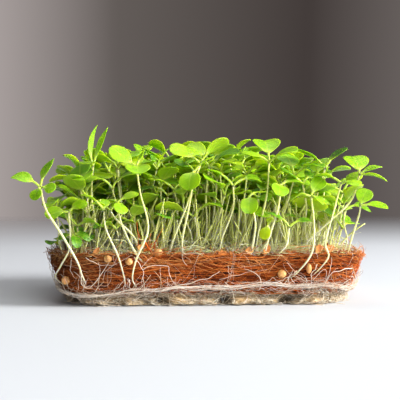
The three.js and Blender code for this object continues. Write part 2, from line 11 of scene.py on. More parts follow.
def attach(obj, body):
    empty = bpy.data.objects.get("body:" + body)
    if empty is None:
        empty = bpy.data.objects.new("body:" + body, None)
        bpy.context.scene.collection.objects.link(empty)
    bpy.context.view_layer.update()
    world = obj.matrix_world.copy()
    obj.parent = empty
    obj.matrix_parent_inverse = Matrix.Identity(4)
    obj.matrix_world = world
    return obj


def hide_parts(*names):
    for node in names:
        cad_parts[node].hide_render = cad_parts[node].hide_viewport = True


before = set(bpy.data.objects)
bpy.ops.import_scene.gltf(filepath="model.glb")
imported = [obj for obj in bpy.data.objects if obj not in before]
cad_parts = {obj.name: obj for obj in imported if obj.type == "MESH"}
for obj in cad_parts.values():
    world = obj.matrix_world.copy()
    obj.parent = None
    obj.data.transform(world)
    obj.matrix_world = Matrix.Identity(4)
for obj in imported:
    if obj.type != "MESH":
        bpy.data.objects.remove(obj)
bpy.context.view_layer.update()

MM = 0.001

# The mat, as in the frame.
MAT_LENGTH = 108
MAT_DEPTH = 78
MAT_TOP = 17.2
FLARE = 2.6
END_TAPER = 3.4
CORNER_RADIUS = 13
FOOT_RADIUS = 5.4
ROOT_FELT = 4.4

# The seedlings, as in the frame.
TALL_CROWNS = (22, 34)
SHORT_CROWNS = (12, 21)
LEFT_END_DROP = 7
RIGHT_END_DROP = 9
CLUMP_COLUMNS = 7
CLUMP_ROWS = 5
SEEDLINGS_PER_CLUMP = 2
CLUMP_INSET = 10.5
CLUMP_FRONT_INSET = 13
CLEARANCE = 0.15
ATTEMPTS = 160
SEED = 4107
COIR_SEED = 51
ROOT_SEED = 52
THICKET_SEED = 53
WIDEST = 0.62

# Finer sizes, for this scene alone.
STEM_RADIUS = 0.33
INFILL_STEM_RADIUS = 0.3
PETIOLE_HALF = 0.4
BLADE_THICKNESS = 0.26
INFILL_SEEDLINGS = 335
UNDERGROWTH_TRIES = 110
INFILL_TRIES = 4000
INFILL_BEDS = 5
INFILL_CROWNS = ((10, 18), (15, 26), (22, 33))
INFILL_LOW = (-58, -43, 0)
INFILL_HIGH = (57, 45.5, 59)
LEVEL_FIBRES = 1300
CROSSING_FIBRES = 1500
LOOSE_FIBRES = 280
FIBRES_ON_TOP = 900
EDGE_FIBRES = 800
STANDING_FIBRES = 110
HUSK_CHIPS = 46
ROPE_STRANDS = 6
SIDE_ROOTS = 500
LACE_ROOTS = 420
FACE_ROOTS = 320
UNDER_ROOTS = 120
APRON_ROOTS = 260
ROOT_HAIRS = 800
THICKET_HAIRS = 640
SLENDER_STEMS = 560

mix = lambda a, b, share: a + (b - a) * share


def random_from(start):
    """A stream of numbers from 0 to 1 that is the same for the same start, and as the frame's."""
    state = start & 0xFFFFFFFF

    def draw():
        nonlocal state
        state = (1664525 * state + 1013904223) & 0xFFFFFFFF
        return state / 4294967296

    draw()
    draw()
    return draw


# Meshes


class Shape:
    """Gathers points, faces and values per point for one mesh."""

    def __init__(self):
        self.points = []
        self.faces = []
        self.kinds = []
        self.values = {}
        self.count = 0

    def add(self, points, faces, kind=0, **values):
        points = np.asarray(points, float).reshape(-1, 3)
        self.points.append(points)
        self.faces.extend((np.asarray(f) + self.count).tolist() for f in faces)
        self.kinds.append((sum(len(f) for f in faces), kind))
        for name, value in values.items():
            whole = np.broadcast_to(np.asarray(value, float).reshape(-1), (len(points),))
            self.values.setdefault(name, []).append(whole)
        self.count += len(points)

    def build(self, name, materials, slot):
        return mesh_object(
            name,
            np.concatenate(self.points),
            [face for group in self.faces for face in group],
            materials,
            kinds=np.repeat([k for _, k in self.kinds], [n for n, _ in self.kinds]),
            values={k: np.concatenate(v) for k, v in self.values.items()},
        )


def mesh_object(name, points, faces, materials, kinds=None, values=None):
    """A smooth-shaded piece that rides on the frame's body."""
    mesh = bpy.data.meshes.new(name)
    mesh.from_pydata((points * MM).tolist(), [], faces)
    for material in materials:
        mesh.materials.append(material)
    mesh.polygons.foreach_set("use_smooth", np.ones(len(faces), bool))
    if kinds is not None:
        mesh.polygons.foreach_set("material_index", kinds.astype(np.int32))
    for key, value in (values or {}).items():
        mesh.attributes.new(key, "FLOAT", "POINT").data.foreach_set("value", value.astype(np.float32))
    mesh.update()
    piece = bpy.data.objects.new(name, mesh)
    bpy.context.scene.collection.objects.link(piece)
    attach(piece, "root")
    return piece


def loft_faces(rings, count, closed=False):
    """Quads between rings of count points, and a face over each end."""
    spans = rings if closed else rings - 1
    i = np.arange(spans)[:, None] * count
    far = ((np.arange(spans) + 1) % rings)[:, None] * count
    j = np.arange(count)[None, :]
    after = (j + 1) % count
    quads = np.stack([i + j, i + after, far + after, far + j], axis=-1).reshape(-1, 4)
    if closed:
        return [quads]
    first = np.arange(count)[::-1][None, :]
    last = (rings - 1) * count + np.arange(count)[None, :]
    return [quads, first, last]


def tubes(paths, radii, sides):
    """Tubes along many paths at once: paths is (tubes, steps, 3) and radii (tubes, steps)."""
    paths = np.asarray(paths, float)
    radii = np.broadcast_to(np.asarray(radii, float), paths.shape[:2])
    many, steps, _ = paths.shape
    along = np.gradient(paths, axis=1)
    along /= np.maximum(np.linalg.norm(along, axis=2, keepdims=True), 1e-9)
    least = np.argmin(np.abs(along).mean(axis=1), axis=1)
    reference = np.eye(3)[least][:, None, :] + 0.013
    across = np.cross(along, reference)
    across /= np.maximum(np.linalg.norm(across, axis=2, keepdims=True), 1e-9)
    over = np.cross(along, across)
    angle = 2 * np.pi * np.arange(sides) / sides
    spokes = across[:, :, None] * np.cos(angle)[:, None] + over[:, :, None] * np.sin(angle)[:, None]
    points = paths[:, :, None] + radii[:, :, None, None] * spokes
    starts = (np.arange(many) * steps * sides)[:, None, None]
    faces = [(f[None] + starts).reshape(-1, f.shape[1]) for f in loft_faces(steps, sides)]
    return points.reshape(-1, 3), faces


def smooth_path(points, steps):
    """Steps + 1 places evenly along a smooth curve through the points."""
    p = np.asarray(points, float)
    p = np.vstack([2 * p[0] - p[1], p, 2 * p[-1] - p[-2]])
    spans = len(points) - 1
    t = np.linspace(0, spans, steps + 1)
    i = np.minimum(t.astype(int), spans - 1)
    w = (t - i)[:, None]
    a, b, c, d = p[i], p[i + 1], p[i + 2], p[i + 3]
    early, late = 0.5 * (c - a), 0.5 * (d - b)
    return b + early * w + (3 * (c - b) - 2 * early - late) * w**2 + (2 * (b - c) + early + late) * w**3


# The mat's plan, as in the frame


def half_sizes(z):
    """Half the mat's length and depth at a height."""
    z = np.asarray(z, float)
    rise = np.clip(z / FOOT_RADIUS, 0, 1)
    narrower = FLARE * (1 - z / MAT_TOP) + FOOT_RADIUS * (1 - np.sqrt(1 - (1 - rise) ** 2))
    taper = END_TAPER * (1 - np.clip(z, 0, MAT_TOP) / MAT_TOP) ** 1.5
    return MAT_LENGTH / 2 - narrower - taper, MAT_DEPTH / 2 - narrower


def outline_length(z):
    a, b = half_sizes(z)
    return 4 * (a + b - 2 * CORNER_RADIUS) + 2 * np.pi * CORNER_RADIUS


def beside(distance, z, off):
    """Points off the mat's side, at a distance run anticlockwise from the middle of the front."""
    distance, z, off = np.broadcast_arrays(*(np.asarray(v, float) for v in (distance, z, off)))
    a, b = half_sizes(z)
    r = CORNER_RADIUS
    left = np.mod(distance, outline_length(z))
    x, y = np.zeros_like(left), np.zeros_like(left)
    out_x, out_y = np.zeros_like(left), np.zeros_like(left)
    arc = np.pi / 2 * r
    zero = np.zeros_like(a)
    straights = [a - r, 2 * (b - r), 2 * (a - r), 2 * (b - r), a - r]
    starts = [(zero, -b), (a, r - b), (a - r, b), (-a, b - r), (r - a, -b)]
    corners = [(a - r, r - b), (a - r, b - r), (r - a, b - r), (r - a, r - b)]
    open_ = np.ones(left.shape, bool)
    for side, length in enumerate(straights):
        facing = -np.pi / 2 + side * np.pi / 2
        here = open_ & ((left <= length) | (side == 4))
        x = np.where(here, starts[side][0] + left * math.cos(facing + np.pi / 2), x)
        y = np.where(here, starts[side][1] + left * math.sin(facing + np.pi / 2), y)
        out_x = np.where(here, math.cos(facing), out_x)
        out_y = np.where(here, math.sin(facing), out_y)
        open_ &= ~here
        left = left - length
        if side == 4:
            break
        angle = facing + left / r
        here = open_ & (left <= arc)
        x = np.where(here, corners[side][0] + r * np.cos(angle), x)
        y = np.where(here, corners[side][1] + r * np.sin(angle), y)
        out_x = np.where(here, np.cos(angle), out_x)
        out_y = np.where(here, np.sin(angle), out_y)
        open_ &= ~here
        left = left - arc
    return np.stack([x + off * out_x, y + off * out_y, z], axis=-1)


def around(distance, z, off, round_):
    """Points beside the side, for distances measured on an outline that is round_ long."""
    return beside(distance * outline_length(z) / round_, z, off)


def front_face(x, z):
    """The front face's y at a place along it, rounded corners included."""
    a, b = half_sizes(z)
    along = np.minimum(np.maximum(np.abs(x) - a + CORNER_RADIUS, 0), CORNER_RADIUS)
    return CORNER_RADIUS - b - np.sqrt(CORNER_RADIUS**2 - along**2)


def in_front(points, off):
    """Points given as x and z, set off the front face by a distance."""
    x, z = np.asarray(points, float).T
    return np.stack([x, front_face(x, z) - off, z], axis=-1)


def inside_plan(x, y, inset):
    """Whether a place on the mat's top is further in than inset."""
    a, b = MAT_LENGTH / 2 - inset, MAT_DEPTH / 2 - inset
    r = max(CORNER_RADIUS - inset, 1)
    dx, dy = np.maximum(np.abs(x) - a + r, 0), np.maximum(np.abs(y) - b + r, 0)
    return np.hypot(dx, dy) <= r


# Seedlings: the same ones as the frame's, drawn by the same rules

SEED_LEAF = "seed leaf"
TRUE_LEAF = "true leaf"
C, T = SEED_LEAF, TRUE_LEAF

# Stems from the root up to the crown, and leaves as kind, heading, rise, droop, petiole, blade,
# width and roll.
FRONT_ROW = [
    (
        [
            (-41, -36, 7.2), (-42.2, -40.4, 11), (-43.6, -41.5, 15.2), (-49, -41.3, 24.6), (-53.6, -41, 32),
            (-55.4, -40.4, 39),
        ],
        [
            (C, -118, -20, -84, 1, 4.3, 4.4, 0),
            (C, -24, 8, -22, 1.2, 4, 4, 60),
            (T, 182, 50, -14, 3, 7.4, 4.4, -46),
            (T, 44, 82, 38, 2.8, 8.4, 5, -4),
        ],
    ),
    (
        [
            (-48.4, -29.4, 6.2), (-51.2, -33.4, 9.6), (-49.2, -36.9, 13.6),
            (-46.2, -37.8, 20), (-46.6, -36.4, 31),
        ],
        [
            (C, 20, 54, 0, 1.6, 5.4, 5, 36),
            (C, 194, 14, -40, 1.8, 5.8, 5.4, -44),
        ],
    ),
    (
        [
            (-28.2, -36.6, 6.4), (-28.6, -40.2, 10), (-30.6, -40.9, 17),
            (-34.4, -40, 25.4), (-35.2, -39, 31.6),
        ],
        [
            (C, 95, 62, 20, 0.8, 4.8, 4.6, 0),
            (C, 205, 60, 8, 4, 5.4, 5, 0),
        ],
    ),
    (
        [(-20.6, -36.4, 13), (-24.7, -39.2, 17.4), (-29.2, -38.3, 26.6), (-31, -37.4, 34)],
        [
            (C, -72, 5, -64, 1.6, 5.6, 5, -10),
            (C, 10, 42, 4, 2.2, 5.6, 4.6, 25),
            (C, 112, 35, -30, 2, 5.4, 5, 0),
        ],
    ),
    (
        [
            (-24.2, -36, 5.8), (-25.9, -40.4, 9.6), (-24.6, -41.6, 16), (-20.8, -41, 25.8), (-23.3, -39, 37),
            (-24.6, -37.6, 46),
        ],
        [
            (C, 166, 36, 38, 2, 8.6, 7, -40),
            (C, -86, 6, -42, 1.4, 7, 8.2, 0),
            (T, 38, 66, 52, 2.2, 4.2, 1.8, 0),
        ],
    ),
    (
        [(-37.5, -28, 14.5), (-37.8, -28, 24), (-39.6, -27.4, 36), (-39.2, -27, 46.6)],
        [
            (T, 186, 70, 122, 2.6, 11.8, 2, -64),
            (T, 8, 76, 62, 2.8, 11.4, 2, 62),
            (C, -105, 30, -25, 2, 6.4, 6, 0),
        ],
    ),
    (
        [(-14.4, -33.6, 13.8), (-12.6, -34.2, 21), (-7.6, -34.8, 34), (-3.4, -34.6, 47)],
        [
            (C, 12, 66, 4, 3.2, 9.2, 9, -30),
            (C, 172, 50, 8, 3.4, 8.4, 7.6, -34),
        ],
    ),
    (
        [(-8.6, -36, 13.6), (-9.6, -38.6, 21.6), (-7.4, -39.6, 33), (-5.6, -39.4, 44.4)],
        [
            (C, -112, -6, -86, 2, 7, 7.4, 0),
            (C, 8, 58, 14, 2.4, 5.8, 5, 0),
        ],
    ),
    (
        [(2.6, -35, 13.6), (3.6, -36, 21.6), (7.3, -37, 32), (7.4, -37, 39.6)],
        [
            (C, 158, 58, 4, 4.8, 6, 5.2, 0),
            (C, 14, 50, -36, 4.6, 6.4, 6.4, 20),
        ],
    ),
    (
        [(12.6, -35.6, 13.6), (13.8, -38.4, 20.6), (14.4, -39.6, 28), (12.4, -39.6, 36.2)],
        [
            (C, -98, -10, -86, 1.6, 6.4, 5.8, 0),
            (C, 40, 34, -12, 2.6, 5.4, 5, 0),
        ],
    ),
    (
        [(14.6, -33.6, 13.8), (16.2, -34.2, 24), (19, -34.6, 37), (19.8, -34.4, 47.6)],
        [
            (C, 92, 76, 12, 3.4, 8.4, 9.6, 0),
            (C, 186, 42, -6, 2.6, 7.6, 7, -16),
            (C, -34, 44, -6, 2.8, 8, 7.6, 20),
        ],
    ),
    (
        [(17.4, -36.2, 13.4), (18.8, -38.4, 21.6), (22, -39, 32), (23, -39, 40)],
        [
            (C, -104, 0, -52, 1.8, 6.6, 6, -24),
            (C, 22, 34, -28, 2.2, 6.6, 6, 18),
        ],
    ),
    (
        [(26.4, -36.4, 8.8), (28.6, -40, 11.4), (33, -41, 17.8), (33.9, -40, 27), (33.2, -38.4, 36.2)],
        [
            (C, 36, 64, 22, 1.8, 6.6, 5, 42),
            (C, 196, 22, -40, 1.8, 5.8, 4.6, 12),
            (T, -58, 2, -56, 1.6, 5, 3.4, 0),
        ],
    ),
    (
        [
            (33.4, -36.4, 9), (36.4, -40.2, 13), (38.6, -40.8, 16.6), (37.6, -40.4, 21), (40.4, -39, 30),
            (43.6, -37.6, 40.6),
        ],
        [
            (C, 168, 46, -16, 2.6, 7, 5.6, 0),
            (C, -42, 24, -34, 1.8, 5.4, 5, 20),
        ],
    ),
    (
        [
            (29.6, -32, 13.6), (32.4, -34.6, 20.4), (40.8, -35.4, 28.4),
            (47.6, -35.4, 35), (50.6, -34.8, 43.6),
        ],
        [
            (C, 96, 74, 18, 1.6, 7.6, 9, 0),
            (T, 4, 40, -4, 1.8, 6.8, 4, 20),
            (T, -20, 8, -36, 1.4, 8.2, 3.8, -10),
        ],
    ),
    (
        [(46.4, -32.4, 13.6), (47.6, -35.4, 21.6), (49.4, -38.6, 30), (49.6, -39.6, 33.2)],
        [
            (C, 40, 66, 40, 0.8, 5.8, 5.8, 30),
            (C, -10, 10, -22, 2, 7, 4.6, 25),
        ],
    ),
]

# Smaller ones at the front edge, in the same form, and how pale each one is.
SMALL_SHADES = (0.4, 0.7, 1, 0.5)
SHADE_SPREAD = 0.15
SMALL_FRONT = [
    (
        [(-46.4, -32.6, 15.6), (-46.2, -34.4, 19), (-45.6, -35.4, 23.6)],
        [
            (C, -62, -8, -86, 0.8, 5.2, 3.6, 0),
            (C, 2, 22, -62, 1, 5.6, 3, 50),
            (C, 182, 12, -48, 1, 3.8, 3, -30),
        ],
    ),
    (
        [(-23.4, -34.4, 15.6), (-25.2, -35.2, 22.4), (-31, -35.8, 28.4), (-33.2, -35.6, 31.4)],
        [
            (C, 205, 50, -10, 2, 5, 4.6, 0),
            (C, 60, 40, 10, 2, 4.6, 4.4, 0),
        ],
    ),
    (
        [(15.2, -36, 15.6), (17.6, -38, 19.4), (19.8, -38.4, 24), (18.7, -38.8, 26.6)],
        [
            (C, -118, -14, -88, 1.2, 4.8, 4, 0),
            (T, 70, 50, 10, 1.2, 3.6, 2, 0),
        ],
    ),
    (
        [(21.2, -36.6, 15.6), (22.8, -38.8, 17.6), (25, -39.2, 20.6), (25.8, -39, 26)],
        [
            (T, 6, 48, -22, 3.2, 5.6, 2.6, 30),
            (T, 184, 62, 2, 3.2, 6, 2.6, -30),
        ],
    ),
]


def blade_profile(kind, u):
    """Half-width of a blade as a share of its greatest, from 0 at the petiole to 1 at the tip."""
    u = np.asarray(u, float)
    if kind == TRUE_LEAF:
        return np.sin(np.pi * np.minimum(u, 0.985) ** 0.85)
    rising = np.sin(np.pi / 2 * (np.minimum(u, WIDEST) / WIDEST) ** 0.8)
    falling = np.sqrt(np.maximum(1 - ((u - WIDEST) / (1.04 - WIDEST)) ** 2, 0))
    return np.where(u < WIDEST, rising, falling)


class Leaf:
    """A leaf's size and bend. It leaves its crown at angle rise and ends at angle droop."""

    def __init__(self, kind, heading, rise, droop, petiole, blade, width, roll):
        self.kind, self.petiole, self.blade, self.width = kind, petiole, blade, width
        self.heading, self.roll = math.radians(heading), math.radians(roll)
        self.rise, self.droop = math.radians(rise), math.radians(droop)

    def at(self, crown, distance):
        """The midrib's points, and the directions across and out of the blade, at distances along."""
        distance = np.asarray(distance, float)
        bend = (self.droop - self.rise) / (self.petiole + self.blade)
        angle = self.rise + bend * distance
        reach = (np.sin(angle) - math.sin(self.rise)) / bend
        lift = (math.cos(self.rise) - np.cos(angle)) / bend
        cos_h, sin_h = math.cos(self.heading), math.sin(self.heading)
        up = np.stack([-cos_h * np.sin(angle), -sin_h * np.sin(angle), np.cos(angle)], axis=-1)
        side = np.array([-sin_h, cos_h, 0.0])
        place = np.stack([crown[0] + cos_h * reach, crown[1] + sin_h * reach, crown[2] + lift], axis=-1)
        across = side * math.cos(self.roll) + up * math.sin(self.roll)
        face = up * math.cos(self.roll) - side * math.sin(self.roll)
        return place, across, face


class Seedling:
    """A stem's points from root to crown, and its leaves."""

    def __init__(self, stem, leaves):
        self.stem = np.asarray(stem, float)
        self.leaves = leaves
        self.crown = self.stem[-1]
        self.marks, self.radii = self._marks()
        self.low = self.marks.min(axis=0) - 1.3
        self.high = self.marks.max(axis=0) + 1.3

    def _marks(self):
        """Points spread over the seedling, each with a radius, for keeping it clear of others."""
        points = [smooth_path(self.stem, 26)]
        radii = [np.full(27, 0.85)]
        for leaf in self.leaves:
            along = np.arange(1.5, leaf.petiole, 1.3)
            points.append(leaf.at(self.crown, along)[0])
            radii.append(np.full(len(along), 0.85))
            u = np.array([0.06, 0.25, 0.44, 0.63, 0.82, 1])
            place, across, _ = leaf.at(self.crown, leaf.petiole + u * leaf.blade)
            half = blade_profile(leaf.kind, u) * leaf.width / 2
            for side in (-0.85, -0.3, 0.3, 0.85):
                points.append(place + across * (side * half)[:, None])
                radii.append(np.full(6, 1.05))
        return np.concatenate(points), np.concatenate(radii)

    def clear_of(self, other, above, slack=CLEARANCE, scale=1.0):
        """Whether two seedlings stay clear of each other above a height."""
        if np.any(self.low > other.high) or np.any(other.low > self.high):
            return True
        mine, theirs = self.marks[:, 2] >= above, other.marks[:, 2] > above
        gap = self.marks[mine][:, None] - other.marks[theirs][None]
        least = scale * (self.radii[mine][:, None] + other.radii[theirs][None]) + slack
        return not np.any((gap**2).sum(axis=2) < least**2)


def drawn_seedling(x, y, start, crowns, small, true_leaf_share=0.14):
    """A seedling at x, y: its lean, height and leaves are drawn by chance, the same on each run."""
    draw = random_from(start)
    between = lambda low, high: mix(low, high, draw())
    a, b = MAT_LENGTH / 2, MAT_DEPTH / 2
    away = between(0, 2 * math.pi)
    lean = between(1.5, 6.5)
    lean_x = lean * math.cos(away) + between(0 if x < 0 else 2, 5 if x < 0 else 9) * (x / a) ** 3
    lean_y = lean * math.sin(away) + between(3, 9) * (y / b) ** 3
    edge = max(abs(x) / a, abs(y) / b)
    end_drop = LEFT_END_DROP if x < 0 else RIGHT_END_DROP
    drop = 4 * edge**4 + end_drop * (abs(x) / a) ** (3 if x < 0 else 2)
    height = between(crowns[0], max(crowns[1] - drop, crowns[0])) - (2 if small else 0)
    kink = between(-1.6, 1.6)
    stem = [
        (x + 0.4 * math.cos(away), y + 0.4 * math.sin(away), MAT_TOP - 1.6),
        (x + 0.2 * lean_x + kink, y + 0.2 * lean_y, MAT_TOP + 0.3 * height),
        (x + 0.62 * lean_x, y + 0.62 * lean_y + 0.6 * kink, MAT_TOP + 0.68 * height),
        (x + lean_x, y + lean_y, MAT_TOP + height),
    ]
    size = 0.82 if small else 1
    heading = between(0, 360)
    leaves = []
    for k in (0, 1):
        turned = heading + 180 * k + between(-25, 25)
        rise, droop = between(34, 74), between(-48, 30)
        petiole, blade = between(2.6, 4.6), size * between(7, 9.2)
        width, roll = size * between(6.6, 9), between(-28, 28)
        leaves.append(Leaf(SEED_LEAF, turned, rise, droop, petiole, blade, width, roll))
    if draw() < true_leaf_share:
        for k in (0, 1):
            turned = heading + 90 + 180 * k + between(-25, 25)
            rise, droop = between(66, 82), between(20, 55)
            petiole, blade = between(1.6, 2.6), between(4.6, 7)
            width, roll = between(2.4, 3.6), between(-20, 20)
            leaves.append(Leaf(TRUE_LEAF, turned, rise, droop, petiole, blade, width, roll))
    return Seedling(stem, leaves)


def seedlings_of(rows):
    return [Seedling(stem, [Leaf(*leaf) for leaf in leaves]) for stem, leaves in rows]


def drawn_clumps(front):
    """The frame's clumps of seedlings, on a staggered grid."""
    clumps, placed = [], list(front)
    for row in range(CLUMP_ROWS):
        for column in range(CLUMP_COLUMNS):
            index = row * CLUMP_COLUMNS + column
            draw = random_from(SEED + 7919 * index)
            a, b = MAT_LENGTH / 2 - CLUMP_INSET, MAT_DEPTH / 2 - CLUMP_INSET
            stagger = 0.22 if row % 2 else -0.22
            x = mix(-a, a, (column + 0.5 + stagger) / CLUMP_COLUMNS) + mix(-1.6, 1.6, draw())
            y = mix(CLUMP_FRONT_INSET - MAT_DEPTH / 2, b, row / (CLUMP_ROWS - 1))
            y += mix(-1.8, 1.8, draw())
            seedlings = []
            for twin in range(SEEDLINGS_PER_CLUMP):
                for attempt in range(ATTEMPTS):
                    start = SEED + 100003 * index + 1009 * twin + 13 * attempt
                    crowns = SHORT_CROWNS if twin else TALL_CROWNS
                    made = drawn_seedling(x, y, start, crowns, attempt > ATTEMPTS / 2)
                    if all(made.clear_of(other, 0) for other in placed) and all(
                        made.clear_of(other, MAT_TOP + 9) for other in seedlings
                    ):
                        seedlings.append(made)
                        break
            placed.extend(seedlings)
            clumps.append((x, y, seedlings))
    return [clump for clump in clumps if clump[2]]


def infill_seedlings(placed):
    """More seedlings of the same kind, standing between the frame's."""
    INFILL_SEED = 77003
    draw = random_from(INFILL_SEED)
    placed, made = list(placed), []
    tries = 0
    while len(made) < INFILL_SEEDLINGS and tries < INFILL_TRIES:
        tries += 1
        x, y = mix(-50, 50, draw()), mix(-34, 37, draw())
        if not inside_plan(x, y, 2.5):
            continue
        crowns = INFILL_CROWNS[int(3 * draw())]
        one = drawn_seedling(x, y, INFILL_SEED + 31 * tries, crowns, draw() < 0.4, 0.2)
        looseness = 0.42 if y < -8 else 0.2
        if np.any(one.low < INFILL_LOW) or np.any(one.high > INFILL_HIGH):
            continue
        if all(one.clear_of(other, MAT_TOP + 2, 0, looseness) for other in placed):
            made.append(one)
            placed.append(one)
    return made


def undergrowth_seedlings(placed):
    """Low seedlings that fill the left half between the stems' feet, dark as painted shade under the canopy.
    """
    LOW_SEED = 91009
    LOW_CROWNS = (5, 13)
    draw = random_from(LOW_SEED)
    made = []
    for index in range(UNDERGROWTH_TRIES):
        x, y = mix(-50, -6, draw()), mix(-28, 36, draw())
        one = drawn_seedling(x, y, LOW_SEED + 17 * index, LOW_CROWNS, True, 0)
        for leaf in one.leaves:
            leaf.blade, leaf.width, leaf.petiole = 0.7 * leaf.blade, 0.66 * leaf.width, 0.6 * leaf.petiole
        one = Seedling(one.stem, one.leaves)
        clear = all(one.clear_of(other, MAT_TOP + 2, 0, 0.3) for other in placed + made)
        if inside_plan(x, y, 3) and clear:
            made.append(one)
    return made


# Seedlings: the fine meshes

STEM_KIND, BLADE_KIND = 0, 1


def add_stem(shape, seedling, tone, radius, sides):
    steps = 4 * len(seedling.stem) + 2
    path = smooth_path(seedling.stem, steps)
    share = np.linspace(0, 1, steps + 1)
    swell = 1 + 0.12 * np.sin(9 * share + 6 * tone) + 0.25 * np.exp(-((share - 1) / 0.05) ** 2)
    thin_foot = mix(0.6, 1, np.clip((path[:, 2] - 6) / 12, 0, 1))
    points, faces = tubes(path[None], (radius * swell * thin_foot)[None], sides)
    height = np.clip((path[:, 2] - 6) / 36, 0, 1)
    shape.add(
        points, faces, STEM_KIND,
        green=np.repeat(0.5 * height**1.6, sides), tone=tone,
        along=np.repeat(share, sides), side=0, under=0,
    )


def add_leaf(shape, crown, leaf, tone, fine=True):
    """A leaf: a rounded petiole that widens into a thin, cupped and slightly wavy blade."""
    columns, blade_rings = (9, 14) if fine else (5, 8)
    length = leaf.petiole + leaf.blade
    tip = 1.038 if leaf.kind == SEED_LEAF else 1
    u = (1 - np.cos(np.pi * np.arange(1, blade_rings + 1) / blade_rings)) / 2 * tip
    petiole = np.linspace(-0.3, leaf.petiole, 5)
    distance = np.concatenate([petiole, leaf.petiole + u * leaf.blade])
    share = np.concatenate([np.zeros(5), u])
    half = blade_profile(leaf.kind, share) * leaf.width / 2
    half = np.hypot(half, PETIOLE_HALF * (1 - 0.9 * share))
    place, across, face = leaf.at(crown, distance)
    ahead = np.cross(across, face)
    v = np.sin(np.linspace(-1, 1, columns) * np.pi / 2)
    spread = half[:, None] * v[None]
    flat = np.clip(share * 6, 0, 1)[:, None]
    phase = 40 * tone
    wave = 0.05 * np.sin(5.5 * share[:, None] * np.sign(v) + 2.5 * np.sign(v) + phase) * np.abs(v) ** 2
    cup = (0.10 + 0.16 * math.sin(phase * 1.7)) * v**2 + wave
    rise = flat * half[:, None] * cup
    notch = 0.07 * (0.5 + tone) * np.exp(-((v / 0.4) ** 2)) * (leaf.kind == SEED_LEAF)
    back = leaf.blade * notch * np.clip((share[:, None] - 0.72) / 0.3, 0, 1) ** 1.5
    edge = np.sqrt(1 - (0.985 * v) ** 2)
    thick_stalk = 0.78 * edge
    rib = 0.34 * np.exp(-((spread / 0.32) ** 2)) * (1 - 0.85 * share[:, None])
    thickness = mix(thick_stalk, BLADE_THICKNESS * (0.35 + 0.65 * edge), flat)
    middle = place[:, None] + across[:, None] * spread[..., None] - ahead[:, None] * back[..., None]
    top = middle + face[:, None] * (rise + thickness / 2)[..., None]
    bottom = middle + face[:, None] * (rise - thickness / 2 - flat * rib)[..., None]
    rings = np.concatenate([bottom, top[:, ::-1]], axis=1)
    count = 2 * columns
    per_ring = lambda value: np.repeat(value, count)
    shape.add(
        rings.reshape(-1, 3), loft_faces(len(distance), count), BLADE_KIND,
        green=per_ring(mix(0.62, 1, np.clip(share * 2.6, 0, 1))), tone=tone,
        along=per_ring(share),
        side=np.tile(np.concatenate([v, v[::-1]]), len(distance)),
        under=np.tile(np.concatenate([np.ones(columns), np.zeros(columns)]), len(distance)),
    )
    return length


def add_seedling(shape, seedling, start, fine=True, darkest=0.0, palest=1.0):
    draw = random_from(start)
    plant = mix(darkest, palest, draw())
    radius = STEM_RADIUS if fine else INFILL_STEM_RADIUS
    add_stem(shape, seedling, plant, radius * mix(0.85, 1.12, draw()), 7 if fine else 5)
    for leaf in seedling.leaves:
        add_leaf(shape, seedling.crown, leaf, 0.5 * plant + 0.5 * mix(darkest, palest, draw()), fine)


# Fibres


def fibre_paths(many, steps, rng, place):
    """Wandering paths: place(start, share, drift) gives their points."""
    share = np.linspace(0, 1, steps)[None, :]
    start = rng.random((many, 6))
    wander = np.cumsum(np.cumsum(rng.normal(0, 1, (many, steps, 2)), axis=1), axis=1)
    wander /= steps**1.5
    return place(start, share, wander)


def below_top(z, run):
    """Folds heights back under the top's uneven edge."""
    edge = MAT_TOP + 0.1 + 0.6 * np.sin(0.23 * run + 1) + 0.6 * np.sin(0.71 * run)
    return edge - np.abs(edge - z)


def level_fibres(many, rng):
    """Fibres matted into the sides, nearly level."""
    steps = 9
    round_ = float(outline_length(MAT_TOP / 2))

    def place(start, share, wander):
        run = round_ * start[:, :1] + (7 + 34 * start[:, 1:2] ** 2) * (share - 0.5)
        z = mix(ROOT_FELT - 0.3, MAT_TOP + 0.2, start[:, 4:5]) + (start[:, 3:4] - 0.5) * 5 * (share - 0.5)
        z = np.maximum(below_top(z + 4 * wander[..., 0], run), ROOT_FELT - 0.6)
        off = -0.85 + 0.8 * np.sin(np.pi * share) * start[:, 5:6] + 0.5 * wander[..., 1]
        return around(run, z, np.clip(off, -1.3, 0.9), round_)

    return fibre_paths(many, steps, rng, place)


def crossing_fibres(many, rng):
    """Shorter fibres that cross the level ones at all slopes, and curl."""
    steps = 8
    round_ = float(outline_length(MAT_TOP / 2))

    def place(start, share, wander):
        length = 3 + 10 * start[:, 1:2] ** 1.5
        slope = np.pi * (start[:, 2:3] - 0.5) * np.where(start[:, 5:6] > 0.35, 0.45, 1)
        curl = (start[:, 3:4] - 0.5) * 6 * (share - 0.5) ** 2
        run = round_ * start[:, :1] + length * (share - 0.5) * np.cos(slope) + 3 * wander[..., 1]
        z = mix(ROOT_FELT, MAT_TOP, start[:, 4:5]) + length * ((share - 0.5) * np.sin(slope) + curl * 0.5)
        z = np.maximum(below_top(z + 1.5 * wander[..., 0], run), ROOT_FELT - 0.8)
        off = -0.5 + 1.1 * np.sin(np.pi * share) * start[:, 5:6]
        return around(run, z, np.clip(off + 0.4 * wander[..., 1], -1, 1.1), round_)

    return fibre_paths(many, steps, rng, place)


